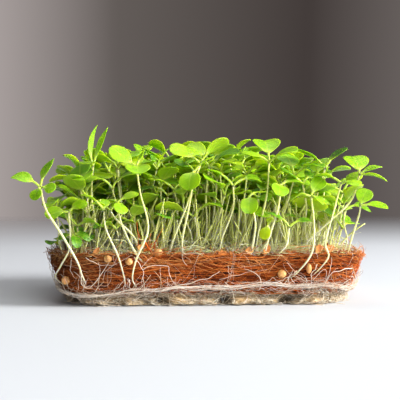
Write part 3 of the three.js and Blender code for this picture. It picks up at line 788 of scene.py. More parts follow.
def loose_fibres(many, rng):
    """Thin fibres that come out of the sides and end in the air, most of them near an edge."""
    steps = 8
    round_ = float(outline_length(MAT_TOP / 2))

    def place(start, share, wander):
        run = round_ * start[:, :1] + (start[:, 1:2] - 0.5) * 9 * share + 1.6 * wander[..., 0]
        high = MAT_TOP - (MAT_TOP - ROOT_FELT) * start[:, 2:3] ** 1.6
        z = high + (start[:, 3:4] - 0.5) * 5 * share + 0.8 * wander[..., 1]
        off = -0.8 + (1.2 + 2.2 * start[:, 4:5] ** 2) * np.sin(
            share * np.pi * mix(0.45, 0.8, start[:, 5:6])
        )
        place_ = around(run, np.minimum(z, MAT_TOP), off, round_)
        place_[..., 2] = np.maximum(z, ROOT_FELT)
        return place_

    return fibre_paths(many, steps, rng, place)


def coir_top_fibres(many, rng):
    """Fibres that lie on the top, in every direction."""
    steps = 9

    def place(start, share, wander):
        length = 4 + 15 * start[:, 1:2] ** 2
        heading = 2 * np.pi * start[:, 2:3]
        x = mix(-52, 52, start[:, 3:4]) + length * (share - 0.5) * np.cos(heading) + 3 * wander[..., 0]
        y = mix(-38, 38, start[:, 4:5]) + length * (share - 0.5) * np.sin(heading) + 3 * wander[..., 1]
        z = MAT_TOP - 0.3 + 1.3 * np.sin(np.pi * share) * start[:, 5:6] ** 2
        keep = np.where(inside_plan(x, y, 0.3), 1, 0.94)
        return np.stack([x * keep, y * keep, z + 0 * x], axis=-1)

    return fibre_paths(many, steps, rng, place)


def edge_fibres(many, rng):
    """Fibres that run along the top's edge, arched over it or sagging from it."""
    steps = 10
    round_ = float(outline_length(MAT_TOP))

    def place(start, share, wander):
        run = round_ * start[:, :1] + (3 + 14 * start[:, 1:2] ** 1.5) * (share - 0.5)
        arch = np.sin(np.pi * share) * mix(-1.4, 2, start[:, 2:3] ** 1.4)
        slant = 3 * (start[:, 3:4] - 0.5) * (share - 0.5)
        z = mix(MAT_TOP - 2.8, MAT_TOP + 0.3, start[:, 4:5]) + arch + slant + 3 * wander[..., 0]
        off = mix(-4, 0.6, start[:, 5:6] ** 0.5) + 2 * wander[..., 1]
        low = around(run, np.minimum(z, MAT_TOP), np.minimum(off, 1), round_)
        low[..., 2] = z
        return low

    return fibre_paths(many, steps, rng, place)


def standing_fibres(many, rng):
    """Fibres that stand up or hang over at the top's edge."""
    steps = 8
    round_ = float(outline_length(MAT_TOP))

    def place(start, share, wander):
        run = round_ * start[:, :1] + (start[:, 1:2] - 0.5) * 10 * share + 1.5 * wander[..., 0]
        tall = 1 + 3.6 * start[:, 2:3] ** 3
        z = MAT_TOP - 1.2 + tall * np.sin(share * np.pi * mix(0.45, 0.9, start[:, 3:4]))
        off = -2.5 + (1 + 2.6 * start[:, 4:5]) * share + 0.6 * wander[..., 1]
        low = around(run, np.minimum(z, MAT_TOP), off, round_)
        low[..., 2] = z
        return low

    return fibre_paths(many, steps, rng, place)


# A tuft of stiff fibres that stands up behind the front edge, as points from foot to tip.
TUFT = [
    (0.17, [(-24.2, -35.6, 16.6), (-24, -35.8, 22.4), (-24.5, -36, 27.8)]),
    (0.15, [(-22.2, -35.8, 16.6), (-22.9, -36, 20.6), (-24, -36.2, 24.6)]),
    (0.16, [(-20.3, -35.8, 16.6), (-18.2, -36, 21.4), (-15.8, -36, 25.6)]),
    (0.18, [(-21, -36.2, 16.6), (-20.8, -36.4, 20.6), (-19.8, -36.4, 24)]),
    (0.15, [(-18.8, -36.2, 16.6), (-18.6, -36.4, 20), (-17.2, -36.4, 23.4)]),
    (0.4, [(-22.2, -36.4, 21.8), (-20.8, -36.9, 19.4), (-19, -37.3, 17)]),
    (0.2, [(-23.6, -36.8, 16.8), (-21.6, -36.9, 18.6), (-19.4, -36.9, 20.8)]),
    (0.16, [(-19.4, -36.8, 16.6), (-17, -37.2, 18.4), (-14.4, -37.4, 19.2)]),
    (0.13, [(-20.2, -37.4, 16.6), (-17.6, -38.4, 17.8), (-14.2, -38.8, 17)]),
]


TUFT_FIBRES = 34


def tuft_paths(rng):
    """The tuft's named fibres, and a fan of finer ones among them."""
    steps = 8
    paths = [smooth_path(points, steps) for _, points in TUFT]
    girths = [girth for girth, _ in TUFT]
    foot = np.array([-20.6, -36.2, MAT_TOP - 0.8])
    for _ in range(TUFT_FIBRES):
        start = foot + rng.normal(0, 1, 3) * (1.7, 0.7, 0.2)
        tip = start + np.array([rng.normal(0, 2.2), rng.normal(-0.3, 0.6), rng.uniform(1.5, 6)])
        middle = (start + tip) / 2 + rng.normal(0, 0.5, 3)
        paths.append(smooth_path([start, middle, tip], steps))
        girths.append(rng.uniform(0.06, 0.15))
    return np.array(paths), np.array(girths)[:, None] * np.linspace(1, 0.45, steps + 1)


# Flakes of husk that lean at the front edge: x, height over the top, half-length, half-width,
# turn and shade.
FLAKES = [
    (3.6, 0.3, 1.5, 0.9, 0.2, 0.8), (7, 0.2, 1, 0.7, -0.3, 1), (12.8, 1.3, 1.5, 1.1, 0.5, 0.95),
    (18.4, 1.6, 1.9, 1.2, 1.3, 0.55), (36, 1.5, 1.7, 1.1, 1, 0.7), (39.4, 1.6, 1.8, 1.3, 0.4, 0.85),
    (-23.2, 2.4, 1.2, 0.8, 0.3, 0.9), (-37.6, 1.2, 1.3, 0.8, 0.7, 0.6), (27.4, 0.4, 1.1, 0.6, 0.1, 0.75),
]


def leaning_flakes(shape):
    """The flakes that stand on edge against the stems: cupped discs with a thin rim."""
    rings, sides = 6, 14
    turn = 2 * np.pi * np.arange(sides) / sides
    for x, rise, half, wide, spin, tone in FLAKES:
        reach = np.concatenate([np.linspace(0.05, 1, rings), np.linspace(0.97, 0.05, rings)])
        depth = np.concatenate([
            0.4 * np.linspace(0, 1, rings) ** 2, 0.4 * np.linspace(0.97, 0, rings) ** 2 - 0.14,
        ])
        wavy = 1 + 0.12 * np.sin(3 * turn + x) + 0.08 * np.sin(5 * turn)
        along = half * reach[:, None] * (wavy * np.cos(turn))
        over = wide * reach[:, None] * (wavy * np.sin(turn))
        across = along * math.cos(spin) - over * math.sin(spin)
        up = along * math.sin(spin) + over * math.cos(spin)
        y = front_face(x, MAT_TOP) + 1.4 + 0.35 * up
        points = np.stack([x + across, y - depth[:, None], MAT_TOP + rise + up], axis=-1)
        shape.add(points.reshape(-1, 3), loft_faces(len(reach), sides), 0, tone=tone, tan=0.45)


def husk_chips(shape, many, rng):
    """Small curved flakes of husk, strewn on the top and thickest near the front edge."""
    steps, sides = 5, 8
    share = np.linspace(-1, 1, steps)
    turn = 2 * np.pi * np.arange(sides) / sides
    for _ in range(many):
        x, y = rng.uniform(-48, 48), -38 + 70 * rng.random() ** 2.2
        if not inside_plan(x, y, 1.5):
            continue
        heading, pitch = rng.uniform(0, 2 * np.pi), rng.normal(0, 0.5)
        half, wide, curl = rng.uniform(0.7, 1.7), rng.uniform(0.35, 0.8), rng.uniform(0.1, 0.5)
        width = wide * np.sqrt(1 - 0.9 * share**2)
        along = half * share
        ring = np.stack(
            [
                along[:, None] + 0 * turn,
                width[:, None] * np.cos(turn),
                curl * (1 - share[:, None] ** 2) + 0.1 * np.sin(turn),
            ],
            axis=-1,
        ).reshape(-1, 3)
        tilt = np.array([[np.cos(pitch), 0, -np.sin(pitch)], [0, 1, 0], [np.sin(pitch), 0, np.cos(pitch)]])
        spin = np.array([
            [np.cos(heading), -np.sin(heading), 0],
            [np.sin(heading), np.cos(heading), 0],
            [0, 0, 1],
        ])
        points = ring @ tilt.T @ spin.T + np.array([x, y, MAT_TOP + 0.25 + half * abs(np.sin(pitch))])
        shape.add(points, loft_faces(steps, sides), 0, tone=rng.uniform(0.6, 1))


def add_fibres(shape, paths, rng, thin, thick, sides=3, **values):
    many, steps, _ = paths.shape
    girth = thin + (thick - thin) * rng.random((many, 1)) ** 3
    taper = 0.55 + 0.45 * np.sin(np.pi * np.linspace(0.08, 0.92, steps))[None, :]
    points, faces = tubes(paths, girth * taper, sides)
    tone = np.repeat(rng.random(many), steps * sides)
    shape.add(points, faces, 0, tone=tone, **values)


# The slab and the felt


def box_grid(nx, ny, nz):
    """The points and quads of a box from -1 to 1, cut into cells, with shared corners."""
    found, points, quads = {}, [], []

    def index(i, j, k):
        key = (i, j, k)
        if key not in found:
            found[key] = len(points)
            points.append((2 * i / nx - 1, 2 * j / ny - 1, 2 * k / nz - 1))
        return found[key]

    for i in range(nx):
        for j in range(ny):
            for k, order in ((0, -1), (nz, 1)):
                ring = [(i, j, k), (i + 1, j, k), (i + 1, j + 1, k), (i, j + 1, k)]
                quads.append([index(*p) for p in ring[::order]])
    for i in range(nx):
        for k in range(nz):
            for j, order in ((0, 1), (ny, -1)):
                ring = [(i, j, k), (i + 1, j, k), (i + 1, j, k + 1), (i, j, k + 1)]
                quads.append([index(*p) for p in ring[::order]])
    for j in range(ny):
        for k in range(nz):
            for i, order in ((0, -1), (nx, 1)):
                ring = [(i, j, k), (i, j + 1, k), (i, j + 1, k + 1), (i, j, k + 1)]
                quads.append([index(*p) for p in ring[::order]])
    return np.array(points), np.array(quads)


def slab_points(grid, low, high, margin):
    """Warps a box grid to the mat's rounded plan between two heights."""
    share = (grid[:, 2] + 1) / 2
    z = mix(low, high, share)
    a, b = half_sizes(z)
    a, b = a + margin, b + margin
    x, y = grid[:, 0] * a, grid[:, 1] * b
    r = CORNER_RADIUS
    dx, dy = np.maximum(np.abs(x) - a + r, 0), np.maximum(np.abs(y) - b + r, 0)
    both = (dx > 0) & (dy > 0)
    pull = np.where(both, np.maximum(dx, dy) / np.maximum(np.hypot(dx, dy), 1e-9), 1)
    x = np.where(both, np.sign(x) * (a - r + dx * pull), x)
    y = np.where(both, np.sign(y) * (b - r + dy * pull), y)
    return np.stack([x, y, z], axis=-1)


def coir_core():
    """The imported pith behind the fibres: a rough, pitted block just inside the slab's surface."""
    grid, quads = box_grid(96, 48, 12)
    points = slab_points(grid, ROOT_FELT + 0.3, MAT_TOP - 0.25, -0.95)
    pits = np.zeros(len(points))
    for i, p in enumerate(points):
        fine = noise.turbulence(Vector((p[0] * 0.5, p[1] * 0.5, p[2] * 1.3)), 3, False)
        pits[i] = fine
    out = slab_outward(grid)
    points = points + out * (0.9 * (pits - 0.9))[:, None]
    shape = Shape()
    # Painted shade: the pith's tone falls with its pits, so it is darker where the surface goes deeper.
    shape.add(points, [quads], 0, tone=0.12 + 0.2 * np.clip(pits, 0, 1), top=np.maximum(grid[:, 2], 0))
    return shape


def slab_outward(grid):
    """Directions out of a box grid's surface, mixed at its edges."""
    out = np.where(np.abs(grid) > 0.999, np.sign(grid), 0)
    return out / np.maximum(np.linalg.norm(out, axis=1, keepdims=True), 1)


# Pockets and lumps in the felt's edge: distance along it from the middle of the front, width and
# depth.
FELT_POCKETS = [(-31, 4, 1.2), (-22, 1.6, 1.6), (-16.1, 2, 4), (4.6, 2.2, 4), (25.7, 2.4, 4), (70, 4, 3)]
FELT_POCKETS += [(105, 4, 3), (150, 5, 3), (196, 4, 3), (226, 5, 3), (262, 4, 3)]
FELT_LUMPS = [
    (-11.3, 3.6, 1.2), (10.2, 3.2, 1.2), (-27, 3, 0.7), (36, 4, 0.8),
    (88, 5, 1), (170, 6, 1), (240, 5, 1),
]
# How far the felt's edge stands out at shares of its height: a skirt on the floor, and a groove.
FELT_EDGE = ((0, 0.1, 0.28, 0.48, 0.66, 0.84, 1), (2.5, 3.3, 2.2, 0.6, -0.9, -0.7, 0.2))


def along_edge(points):
    """The distance round the mat's edge of points near it."""
    round_ = float(outline_length(2))
    distance = np.linspace(0, round_, 721)[:-1]
    ring = beside(distance, 2, 0)
    ring_angle = np.arctan2(ring[:, 1], ring[:, 0])
    order = np.argsort(ring_angle)
    return np.interp(np.arctan2(points[:, 1], points[:, 0]), ring_angle[order], distance[order]), round_


def edge_swells(distance, round_, places):
    """How far the edge goes in or out at each distance."""
    swell = np.zeros_like(distance)
    for centre, wide, deep in places:
        gap = (distance - centre + round_ / 2) % round_ - round_ / 2
        swell += deep * np.exp(-((gap / wide) ** 2))
    return swell


def felt_edge(distance, share, round_):
    """How far the felt's edge stands out there, and how deep in a pocket or on a lump it is."""
    low = np.exp(-(((share - 0.32) / 0.28) ** 2))
    pocket = edge_swells(distance, round_, FELT_POCKETS) * low
    lump = edge_swells(distance, round_, FELT_LUMPS) * np.exp(-(((share - 0.5) / 0.4) ** 2))
    ragged = 0.5 * np.sin(0.9 * distance + 1.3 * np.sin(0.37 * distance))
    return np.interp(share, *FELT_EDGE) * (1 + 0.4 * ragged) - pocket + lump, pocket, lump


def root_felt_body():
    """The pad of matted roots: a groove under its rope, pockets, lumps, and a skirt on the floor."""
    grid, quads = box_grid(150, 64, 10)
    points = slab_points(grid, 0, ROOT_FELT, 0.35)
    share = (grid[:, 2] + 1) / 2
    edge = np.max(np.abs(grid[:, :2]), axis=1) > 0.999
    distance, round_ = along_edge(points)
    stands, pocket, lump = felt_edge(distance, share, round_)
    rough = np.array([
        noise.turbulence(Vector((p[0] * 0.4, p[1] * 0.4, p[2] * 0.9)), 4, False) for p in points
    ])
    out = slab_outward(grid)
    out[:, 2] = np.where(share < 0.02, 0, out[:, 2])
    push = np.where(edge, stands + 1.1 * (rough - 0.6), 0.5 * (rough - 0.6))
    inner_floor = (share < 0.02) & ~edge
    points = points + out * (push * ~inner_floor)[:, None]
    points[:, 2] = np.maximum(points[:, 2], 0)
    shape = Shape()
    # Painted shade: how deep each point lies in a pocket or in the groove under the rope, to darken the
    # felt's colour there.
    hollow = np.clip(pocket / 2 + np.exp(-(((share - 0.7) / 0.16) ** 2)) * 0.5, 0, 1)
    shape.add(points, [quads], 0, tone=np.clip(rough, 0, 1), hollow=hollow, film=np.clip(lump, 0, 1))
    return shape


# The rope's height over the front face, as x and z.
ROPE_FRONT = [
    (-45, 3), (-40, 3.2), (-33, 3.9), (-26.7, 4.8),
    (-21.8, 5.6), (-16.9, 5.3), (-12.6, 6.6), (-7, 6.1),
]
ROPE_FRONT += [(4.4, 6.3), (12.6, 6.8), (19, 7.4), (25, 6.3), (32, 6.1), (36, 7.2), (40, 6.3), (48, 5)]


def rope_height(distance, round_):
    """The rope's height at a distance along the outline from the middle of the front."""
    signed = (distance + round_ / 2) % round_ - round_ / 2
    x, z = np.array(ROPE_FRONT).T
    elsewhere = ROOT_FELT + 0.6 + 0.8 * np.sin(signed * 0.13 + 1) + 0.4 * np.sin(signed * 0.31)
    front = np.interp(signed, x, z)
    blend = np.clip((np.abs(signed) - 42) / 10, 0, 1)
    return mix(front, elsewhere, blend)


def rope_strands():
    """The rope of roots that follows the foot of the slab: strands that wind about each other."""
    steps = 340
    share = np.linspace(0, 1, steps)
    round_ = float(outline_length(ROOT_FELT))
    kernel = np.hanning(11) / np.hanning(11).sum()
    height = np.convolve(np.pad(rope_height(round_ * share, round_), 5, mode="wrap"), kernel, "valid")
    paths = []
    for strand in range(ROPE_STRANDS):
        twist = 2 * np.pi * (strand / ROPE_STRANDS + (5 + 2 * (strand % 4)) * share)
        reach = 0.3 + 0.08 * strand + 0.25 * np.sin(2 * np.pi * (17 + 3 * strand) * share + strand)
        z = height + reach * np.sin(twist)
        off = 1.35 + 0.6 * reach * np.cos(twist) + 0.15 * np.sin(2 * np.pi * 5 * share)
        paths.append(beside(outline_length(z) * share, z, off))
    return np.array(paths)


# Roots drawn over the front face, as x and z from the thick end to the tip.
FRONT_ROOTS = [
    (0.24, [(-49.2, 8.7), (-48.8, 6.8), (-47.9, 4.8), (-47, 4.2), (-45, 3.3), (-42.9, 2.2)]),
    (0.14, [(-41, 4.6), (-41.7, 3.6), (-42.8, 2.6), (-42.8, 1.2)]),
    (0.24, [
        (-42.5, 10.4), (-42.5, 7.9), (-41.7, 6.9), (-40.4, 6.4),
        (-39.1, 6.9), (-37.8, 8.2), (-35.2, 12.1), (-33.5, 14.7),
    ]),
    (0.13, [(-41, 16.4), (-39.1, 15.1), (-36.8, 14.1), (-34.2, 13.7), (-32.2, 14.1), (-30.8, 16.7)]),
    (0.11, [(-45.6, 16), (-46, 13.4), (-45.6, 10.8), (-44.3, 9.2)]),
    (0.17, [(-28.4, 10), (-28.5, 7.9), (-28.6, 6.2), (-29, 4.6)]),
    (0.13, [(-28.6, 8.8), (-30, 7.2), (-31.6, 5.6), (-32.6, 4.3)]),
    (0.22, [(-26.9, 9), (-26.8, 7.5), (-26.7, 5.9), (-25.6, 5.2)]),
    (0.13, [(-27.3, 9.5), (-27.5, 7.5), (-28, 5.6)]),
    (0.17, [(-25.4, 16.4), (-24.1, 14.7), (-22.8, 13.1), (-22.4, 11.1), (-22.8, 8.5), (-22.4, 6)]),
    (0.12, [(-22.8, 13.1), (-21.5, 14.7), (-19.5, 16.4)]),
    (0.16, [
        (-22.6, 12.2), (-20.1, 13.4), (-15.6, 13.7), (-14.3, 13.1),
        (-13.8, 11.1), (-12, 7.5), (-10.7, 6.2), (-6.1, 5.1),
    ]),
    (0.21, [(-12.6, 6.6), (-7.1, 7.7), (-3.1, 8.8), (0.1, 9.8), (2.7, 11.5)]),
    (0.11, [(2.7, 8.8), (9.3, 10.5), (18.4, 12.1)]),
    (0.1, [(5.4, 13.4), (5.7, 11.4), (5.9, 9.4)]),
    (0.1, [(6.7, 13.4), (6.4, 11.6), (6.5, 9.6)]),
    (0.3, [(28.4, 11.6), (27.2, 10.6), (26, 9.9), (25.3, 9.2)]),
    (0.2, [(26, 9.9), (24.3, 8.8), (22.4, 7.9), (19.8, 7)]),
    (0.15, [(25.5, 9.4), (26, 7.5), (26.5, 6.2)]),
    (0.15, [(26.1, 9.8), (27.3, 7.9), (28.3, 6.4)]),
    (0.14, [(26.6, 10), (28.6, 9.5), (30.2, 8.8), (31.9, 7.5)]),
    (0.11, [(25, 14.4), (27.3, 11.8), (29.6, 9.8), (33.2, 7.9)]),
    (0.22, [(35.1, 13.7), (34.5, 12.1), (33.5, 10.8), (33.3, 9.2), (33.5, 6.8)]),
    (0.13, [(33.8, 8.2), (35.1, 9.8), (36.8, 11.5), (38.1, 11.8), (38.6, 10.5), (38.1, 8.8), (37.7, 7.2)]),
    (0.21, [(47.5, 12), (45, 12), (42.7, 11.5), (40.7, 10.8), (39.1, 9.2), (38.1, 7.5), (37.2, 6)]),
    (0.13, [(16.5, 6.9), (19.1, 8.5), (20.7, 9.2), (22.7, 7.9), (25, 6.2)]),
    (0.14, [(33.5, 6.6), (32.5, 4.6), (31.2, 2.6), (30.5, 0.9)]),
    (0.13, [(34.1, 6.2), (33.8, 3.9), (32.5, 2), (33.4, 0.8)]),
    (0.12, [(35.1, 5.6), (36.1, 3.6), (34.8, 1.6)]),
    (0.12, [(29.9, 5.2), (31.2, 3.6), (32.8, 3)]),
    (0.12, [(37.4, 5.6), (39, 4.3), (38.4, 2.3)]),
    (0.13, [(-33.2, 3.6), (-35.2, 1.6), (-36.5, 0.4)]),
    (0.12, [(-37.8, 3.6), (-37.4, 2.4), (-37.1, 1.2)]),
]


def front_root_paths():
    steps = 24
    paths, radii = [], []
    for girth, points in FRONT_ROOTS:
        flat = smooth_path(np.array(points), steps)
        share = np.linspace(0, 1, steps + 1)
        waver = np.sin(np.pi * share) * 0.22
        flat[:, 0] += waver * np.sin(13 * share + points[0][0])
        flat[:, 1] += waver * np.sin(17 * share + points[0][1])
        off = np.where(flat[:, 1] < ROOT_FELT + 0.6, 1.5, 0.8) + 0.15 * np.sin(6 * share)
        off = np.convolve(np.pad(off, 2, mode="edge"), np.ones(5) / 5, "valid")
        paths.append(in_front(flat, off))
        radii.append(girth * mix(0.7, 0.38, share))
    return np.array(paths), np.array(radii)


def side_root_paths(many, rng):
    """Fine roots that wander over the lower part of the sides and the felt's edge."""
    steps = 13
    round_ = float(outline_length(3))

    def place(start, share, wander):
        climbs = start[:, 2:3] > 0.9
        length = np.where(climbs, 9, 3 + 8 * start[:, 1:2])
        angle = np.where(climbs, 1.2, 2.6 * (start[:, 4:5] - 0.5)) + 5 * (start[:, 5:6] - 0.5) * share
        pace = length / steps
        run = round_ * start[:, :1] + np.cumsum(np.cos(angle), axis=1) * pace + 3 * wander[..., 0]
        level = mix(0.4, ROOT_FELT + 1.4, start[:, 3:4])
        z = level + np.cumsum(np.sin(angle), axis=1) * pace + 2 * wander[..., 1]
        z = np.minimum(0.2 + np.abs(z - 0.2), MAT_TOP)
        felt = 0.4 + felt_edge(np.mod(run, round_), z / ROOT_FELT, round_)[0]
        off = mix(felt, 0.7, np.clip((z - ROOT_FELT + 0.6) / 1.2, 0, 1))
        return around(run, z, off + 0.6 * start[:, 5:6] * np.sin(np.pi * share), round_)

    return fibre_paths(many, steps, rng, place)


def face_root_paths(many, rng):
    """Hair-fine roots that stray over the whole of the sides."""
    steps = 12
    round_ = float(outline_length(MAT_TOP / 2))

    def place(start, share, wander):
        length = 3 + 8 * start[:, 1:2] ** 2
        slope = 2 * np.pi * start[:, 2:3] + 2.4 * (start[:, 5:6] - 0.5) * share
        run = round_ * start[:, :1] + length * share * np.cos(slope) + 6 * wander[..., 0]
        foot = mix(ROOT_FELT, MAT_TOP, start[:, 3:4] ** 2.2)
        z = np.clip(
            foot + length * share * np.sin(slope) + 5 * wander[..., 1], ROOT_FELT - 1, MAT_TOP + 0.2
        )
        off = 0.45 + 0.5 * start[:, 4:5] + 0.35 * np.sin(share * 9 * start[:, 5:6])
        return around(run, z, off, round_)

    return fibre_paths(many, steps, rng, place)


def under_root_paths(many, rng):
    """Roots that run over the felt's underside, pressed flat on what it stands on."""
    steps = 14

    def place(start, share, wander):
        length = 8 + 26 * start[:, 1:2]
        heading = 2 * np.pi * start[:, 2:3]
        x = mix(-44, 44, start[:, 3:4]) + length * (share - 0.5) * np.cos(heading) + 4 * wander[..., 0]
        y = mix(-31, 31, start[:, 4:5]) + length * (share - 0.5) * np.sin(heading) + 4 * wander[..., 1]
        keep = np.where(inside_plan(x, y, 6), 1, 0.88)
        return np.stack([x * keep, y * keep, np.full_like(x, 0.05)], axis=-1)

    return fibre_paths(many, steps, rng, place)


def lace_root_paths(many, rng):
    """Fine white roots in a loose band along the rope, some hanging from it over the felt."""
    steps = 10
    round_ = float(outline_length(ROOT_FELT))

    def place(start, share, wander):
        length = 5 + 14 * start[:, 1:2]
        run = round_ * start[:, :1] + length * (share - 0.5)
        spread = 3.2 * (start[:, 3:4] + start[:, 4:5] - 1.1)
        waver = 0.45 * np.sin(2 * np.pi * share * (1 + 2 * start[:, 2:3]) + 9 * start[:, 5:6])
        z = rope_height(np.mod(run, round_), round_) + spread * np.abs(2 * share - 1) ** 0.7
        z = np.maximum(z + waver + 2.5 * wander[..., 0], 0.3)
        felt = 0.7 + felt_edge(np.mod(run, round_), z / ROOT_FELT, round_)[0]
        off = mix(felt, 1.1, np.clip((z - ROOT_FELT + 1) / 1.4, 0, 1)) + 0.5 * start[:, 2:3]
        return around(run, z, off, round_)

    return fibre_paths(many, steps, rng, place)


def apron_root_paths(many, rng):
    """Fine roots that lie on what the mat stands on, just outside its edge."""
    steps = 9
    round_ = float(outline_length(2))

    def place(start, share, wander):
        angle = 2 * np.pi * start[:, 2:3] + 6 * (start[:, 5:6] - 0.5) * share
        pace = (2 + 5 * start[:, 1:2]) / steps
        run = round_ * start[:, :1] + np.cumsum(np.cos(angle), axis=1) * pace
        off = 2.4 + 1.6 * start[:, 3:4] + np.cumsum(np.sin(angle), axis=1) * pace + 2 * wander[..., 0]
        z = 0.12 + 0.9 * start[:, 4:5] * np.sin(np.pi * share)
        return around(run, z, np.clip(off, 1, 5.4), round_)

    return fibre_paths(many, steps, rng, place)


def root_hair_paths(many, rng):
    """Hairs that make the haze round the roots and over the top's edge."""
    steps = 5
    round_ = float(outline_length(3))

    def place(start, share, wander):
        high = start[:, 2:3] > 0.45
        run = round_ * start[:, :1] + (start[:, 1:2] - 0.5) * 3 * share
        z = np.where(
            high,
            MAT_TOP - 0.6 + 3.4 * start[:, 3:4] * share,
            mix(0.4, 8, start[:, 3:4]) + 0.8 * wander[..., 0],
        )
        off = np.where(high, -2 + 2.6 * share * start[:, 4:5], 0.9 + 1.2 * share * start[:, 4:5])
        place_ = around(run, np.minimum(z, MAT_TOP), off, round_)
        place_[..., 2] = z
        return place_

    return fibre_paths(many, steps, rng, place)


def thicket_paths(many, rng):
    """Fine pale roots and dropped petioles that lie in a tangle between the stems' feet."""
    steps = 8

    def place(start, share, wander):
        length = 6 + 16 * start[:, 1:2]
        heading = 2 * np.pi * start[:, 2:3] + 2 * (start[:, 5:6] - 0.5) * share
        x = (
            mix(-42, 44, start[:, 3:4] ** 0.7)
            + length * (share - 0.5) * np.cos(heading)
            + 3 * wander[..., 0]
        )
        y = mix(-37, 34, start[:, 4:5] ** 2.2) + 0.5 * length * (share - 0.5) * np.sin(heading)
        tall = 0.4 + 5 * start[:, 0:1] ** 2
        z = MAT_TOP + 0.2 + tall * np.sin(np.pi * share * mix(0.5, 1, start[:, 5:6])) + 2 * wander[..., 1]
        return np.stack([x, y, np.maximum(z, MAT_TOP - 0.4)], axis=-1)

    return fibre_paths(many, steps, rng, place)


def slender_stem_paths(many, rng):
    """Bare stems that stand between the seedlings and end among their leaves."""
    steps = 7

    def place(start, share, wander):
        x = mix(-48, 46, start[:, :1]) + 13 * (start[:, 3:4] - 0.35) * share**1.3 + 1.5 * wander[..., 0]
        y = mix(-34, 35, start[:, 1:2]) + 7 * (start[:, 4:5] - 0.5) * share
        z = MAT_TOP - 0.6 + mix(10, 20, start[:, 2:3]) * share
        bow = 2 * (start[:, 5:6] - 0.5) * np.sin(np.pi * share)
        return np.stack([x + bow, y, z], axis=-1)

    paths = fibre_paths(many, steps, rng, place)
    return paths[inside_plan(paths[:, 0, 0], paths[:, 0, 1], 3)]


# Seed hulls

SEED_HULLS = [
    (-47.8, None, 8.5, (1.45, 1.3, 1.4)),
    (-33.9, None, 15.8, (1.3, 1.2, 1.15)),
    (-27, None, 14.9, (1.3, 1.2, 1.2)),
    (23.5, None, 10.5, (1.5, 1.2, 1.3)),
    (32.5, None, 12.3, (0.95, 1.1, 1.7)),
    (-17.4, -37, MAT_TOP + 0.5, (1.5, 1.3, 1.2)),
    (42.4, -33.4, MAT_TOP + 0.5, (1.3, 1.3, 1.5)),
]


def seed_hull(index, material):
    """A seed coat: a round shell with a crease down one side and a fine dimpled skin."""
    x, y, z, size = SEED_HULLS[index]
    y = float(front_face(x, z)) - 0.25 if y is None else y
    rings, sides = 15, 20
    polar = np.pi * np.linspace(0.02, 0.98, rings)
    turn = 2 * np.pi * np.arange(sides) / sides
    grid = np.stack(
        [
            np.sin(polar)[:, None] * np.cos(turn),
            np.sin(polar)[:, None] * np.sin(turn),
            np.cos(polar)[:, None] * np.ones(sides),
        ],
        axis=-1,
    ).reshape(-1, 3)
    crease = 0.14 * np.exp(-((np.arctan2(grid[:, 1], grid[:, 0]) + 1.2 + 0.7 * index) / 0.28) ** 2)
    dimples = np.array([noise.noise(Vector(p * 2.3 + index)) for p in grid])
    grid = grid * (1 - crease + 0.05 * dimples)[:, None]
    tilt = 0.5 * math.sin(2.3 * index)
    turned = grid @ np.array([
        [math.cos(tilt), 0, math.sin(tilt)],
        [0, 1, 0],
        [-math.sin(tilt), 0, math.cos(tilt)],
    ])
    points = turned * np.array(size) + np.array([x, y, z])
    shape = Shape()
    shape.add(points, loft_faces(rings, sides), 0, tone=0.5 + 0.5 * dimples, crease=crease / 0.14)
    name = f"seed_hull_{index + 1:02d}"
    piece = shape.build(f"fine_{name}", [material], "hull")
    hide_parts(name)


# Materials


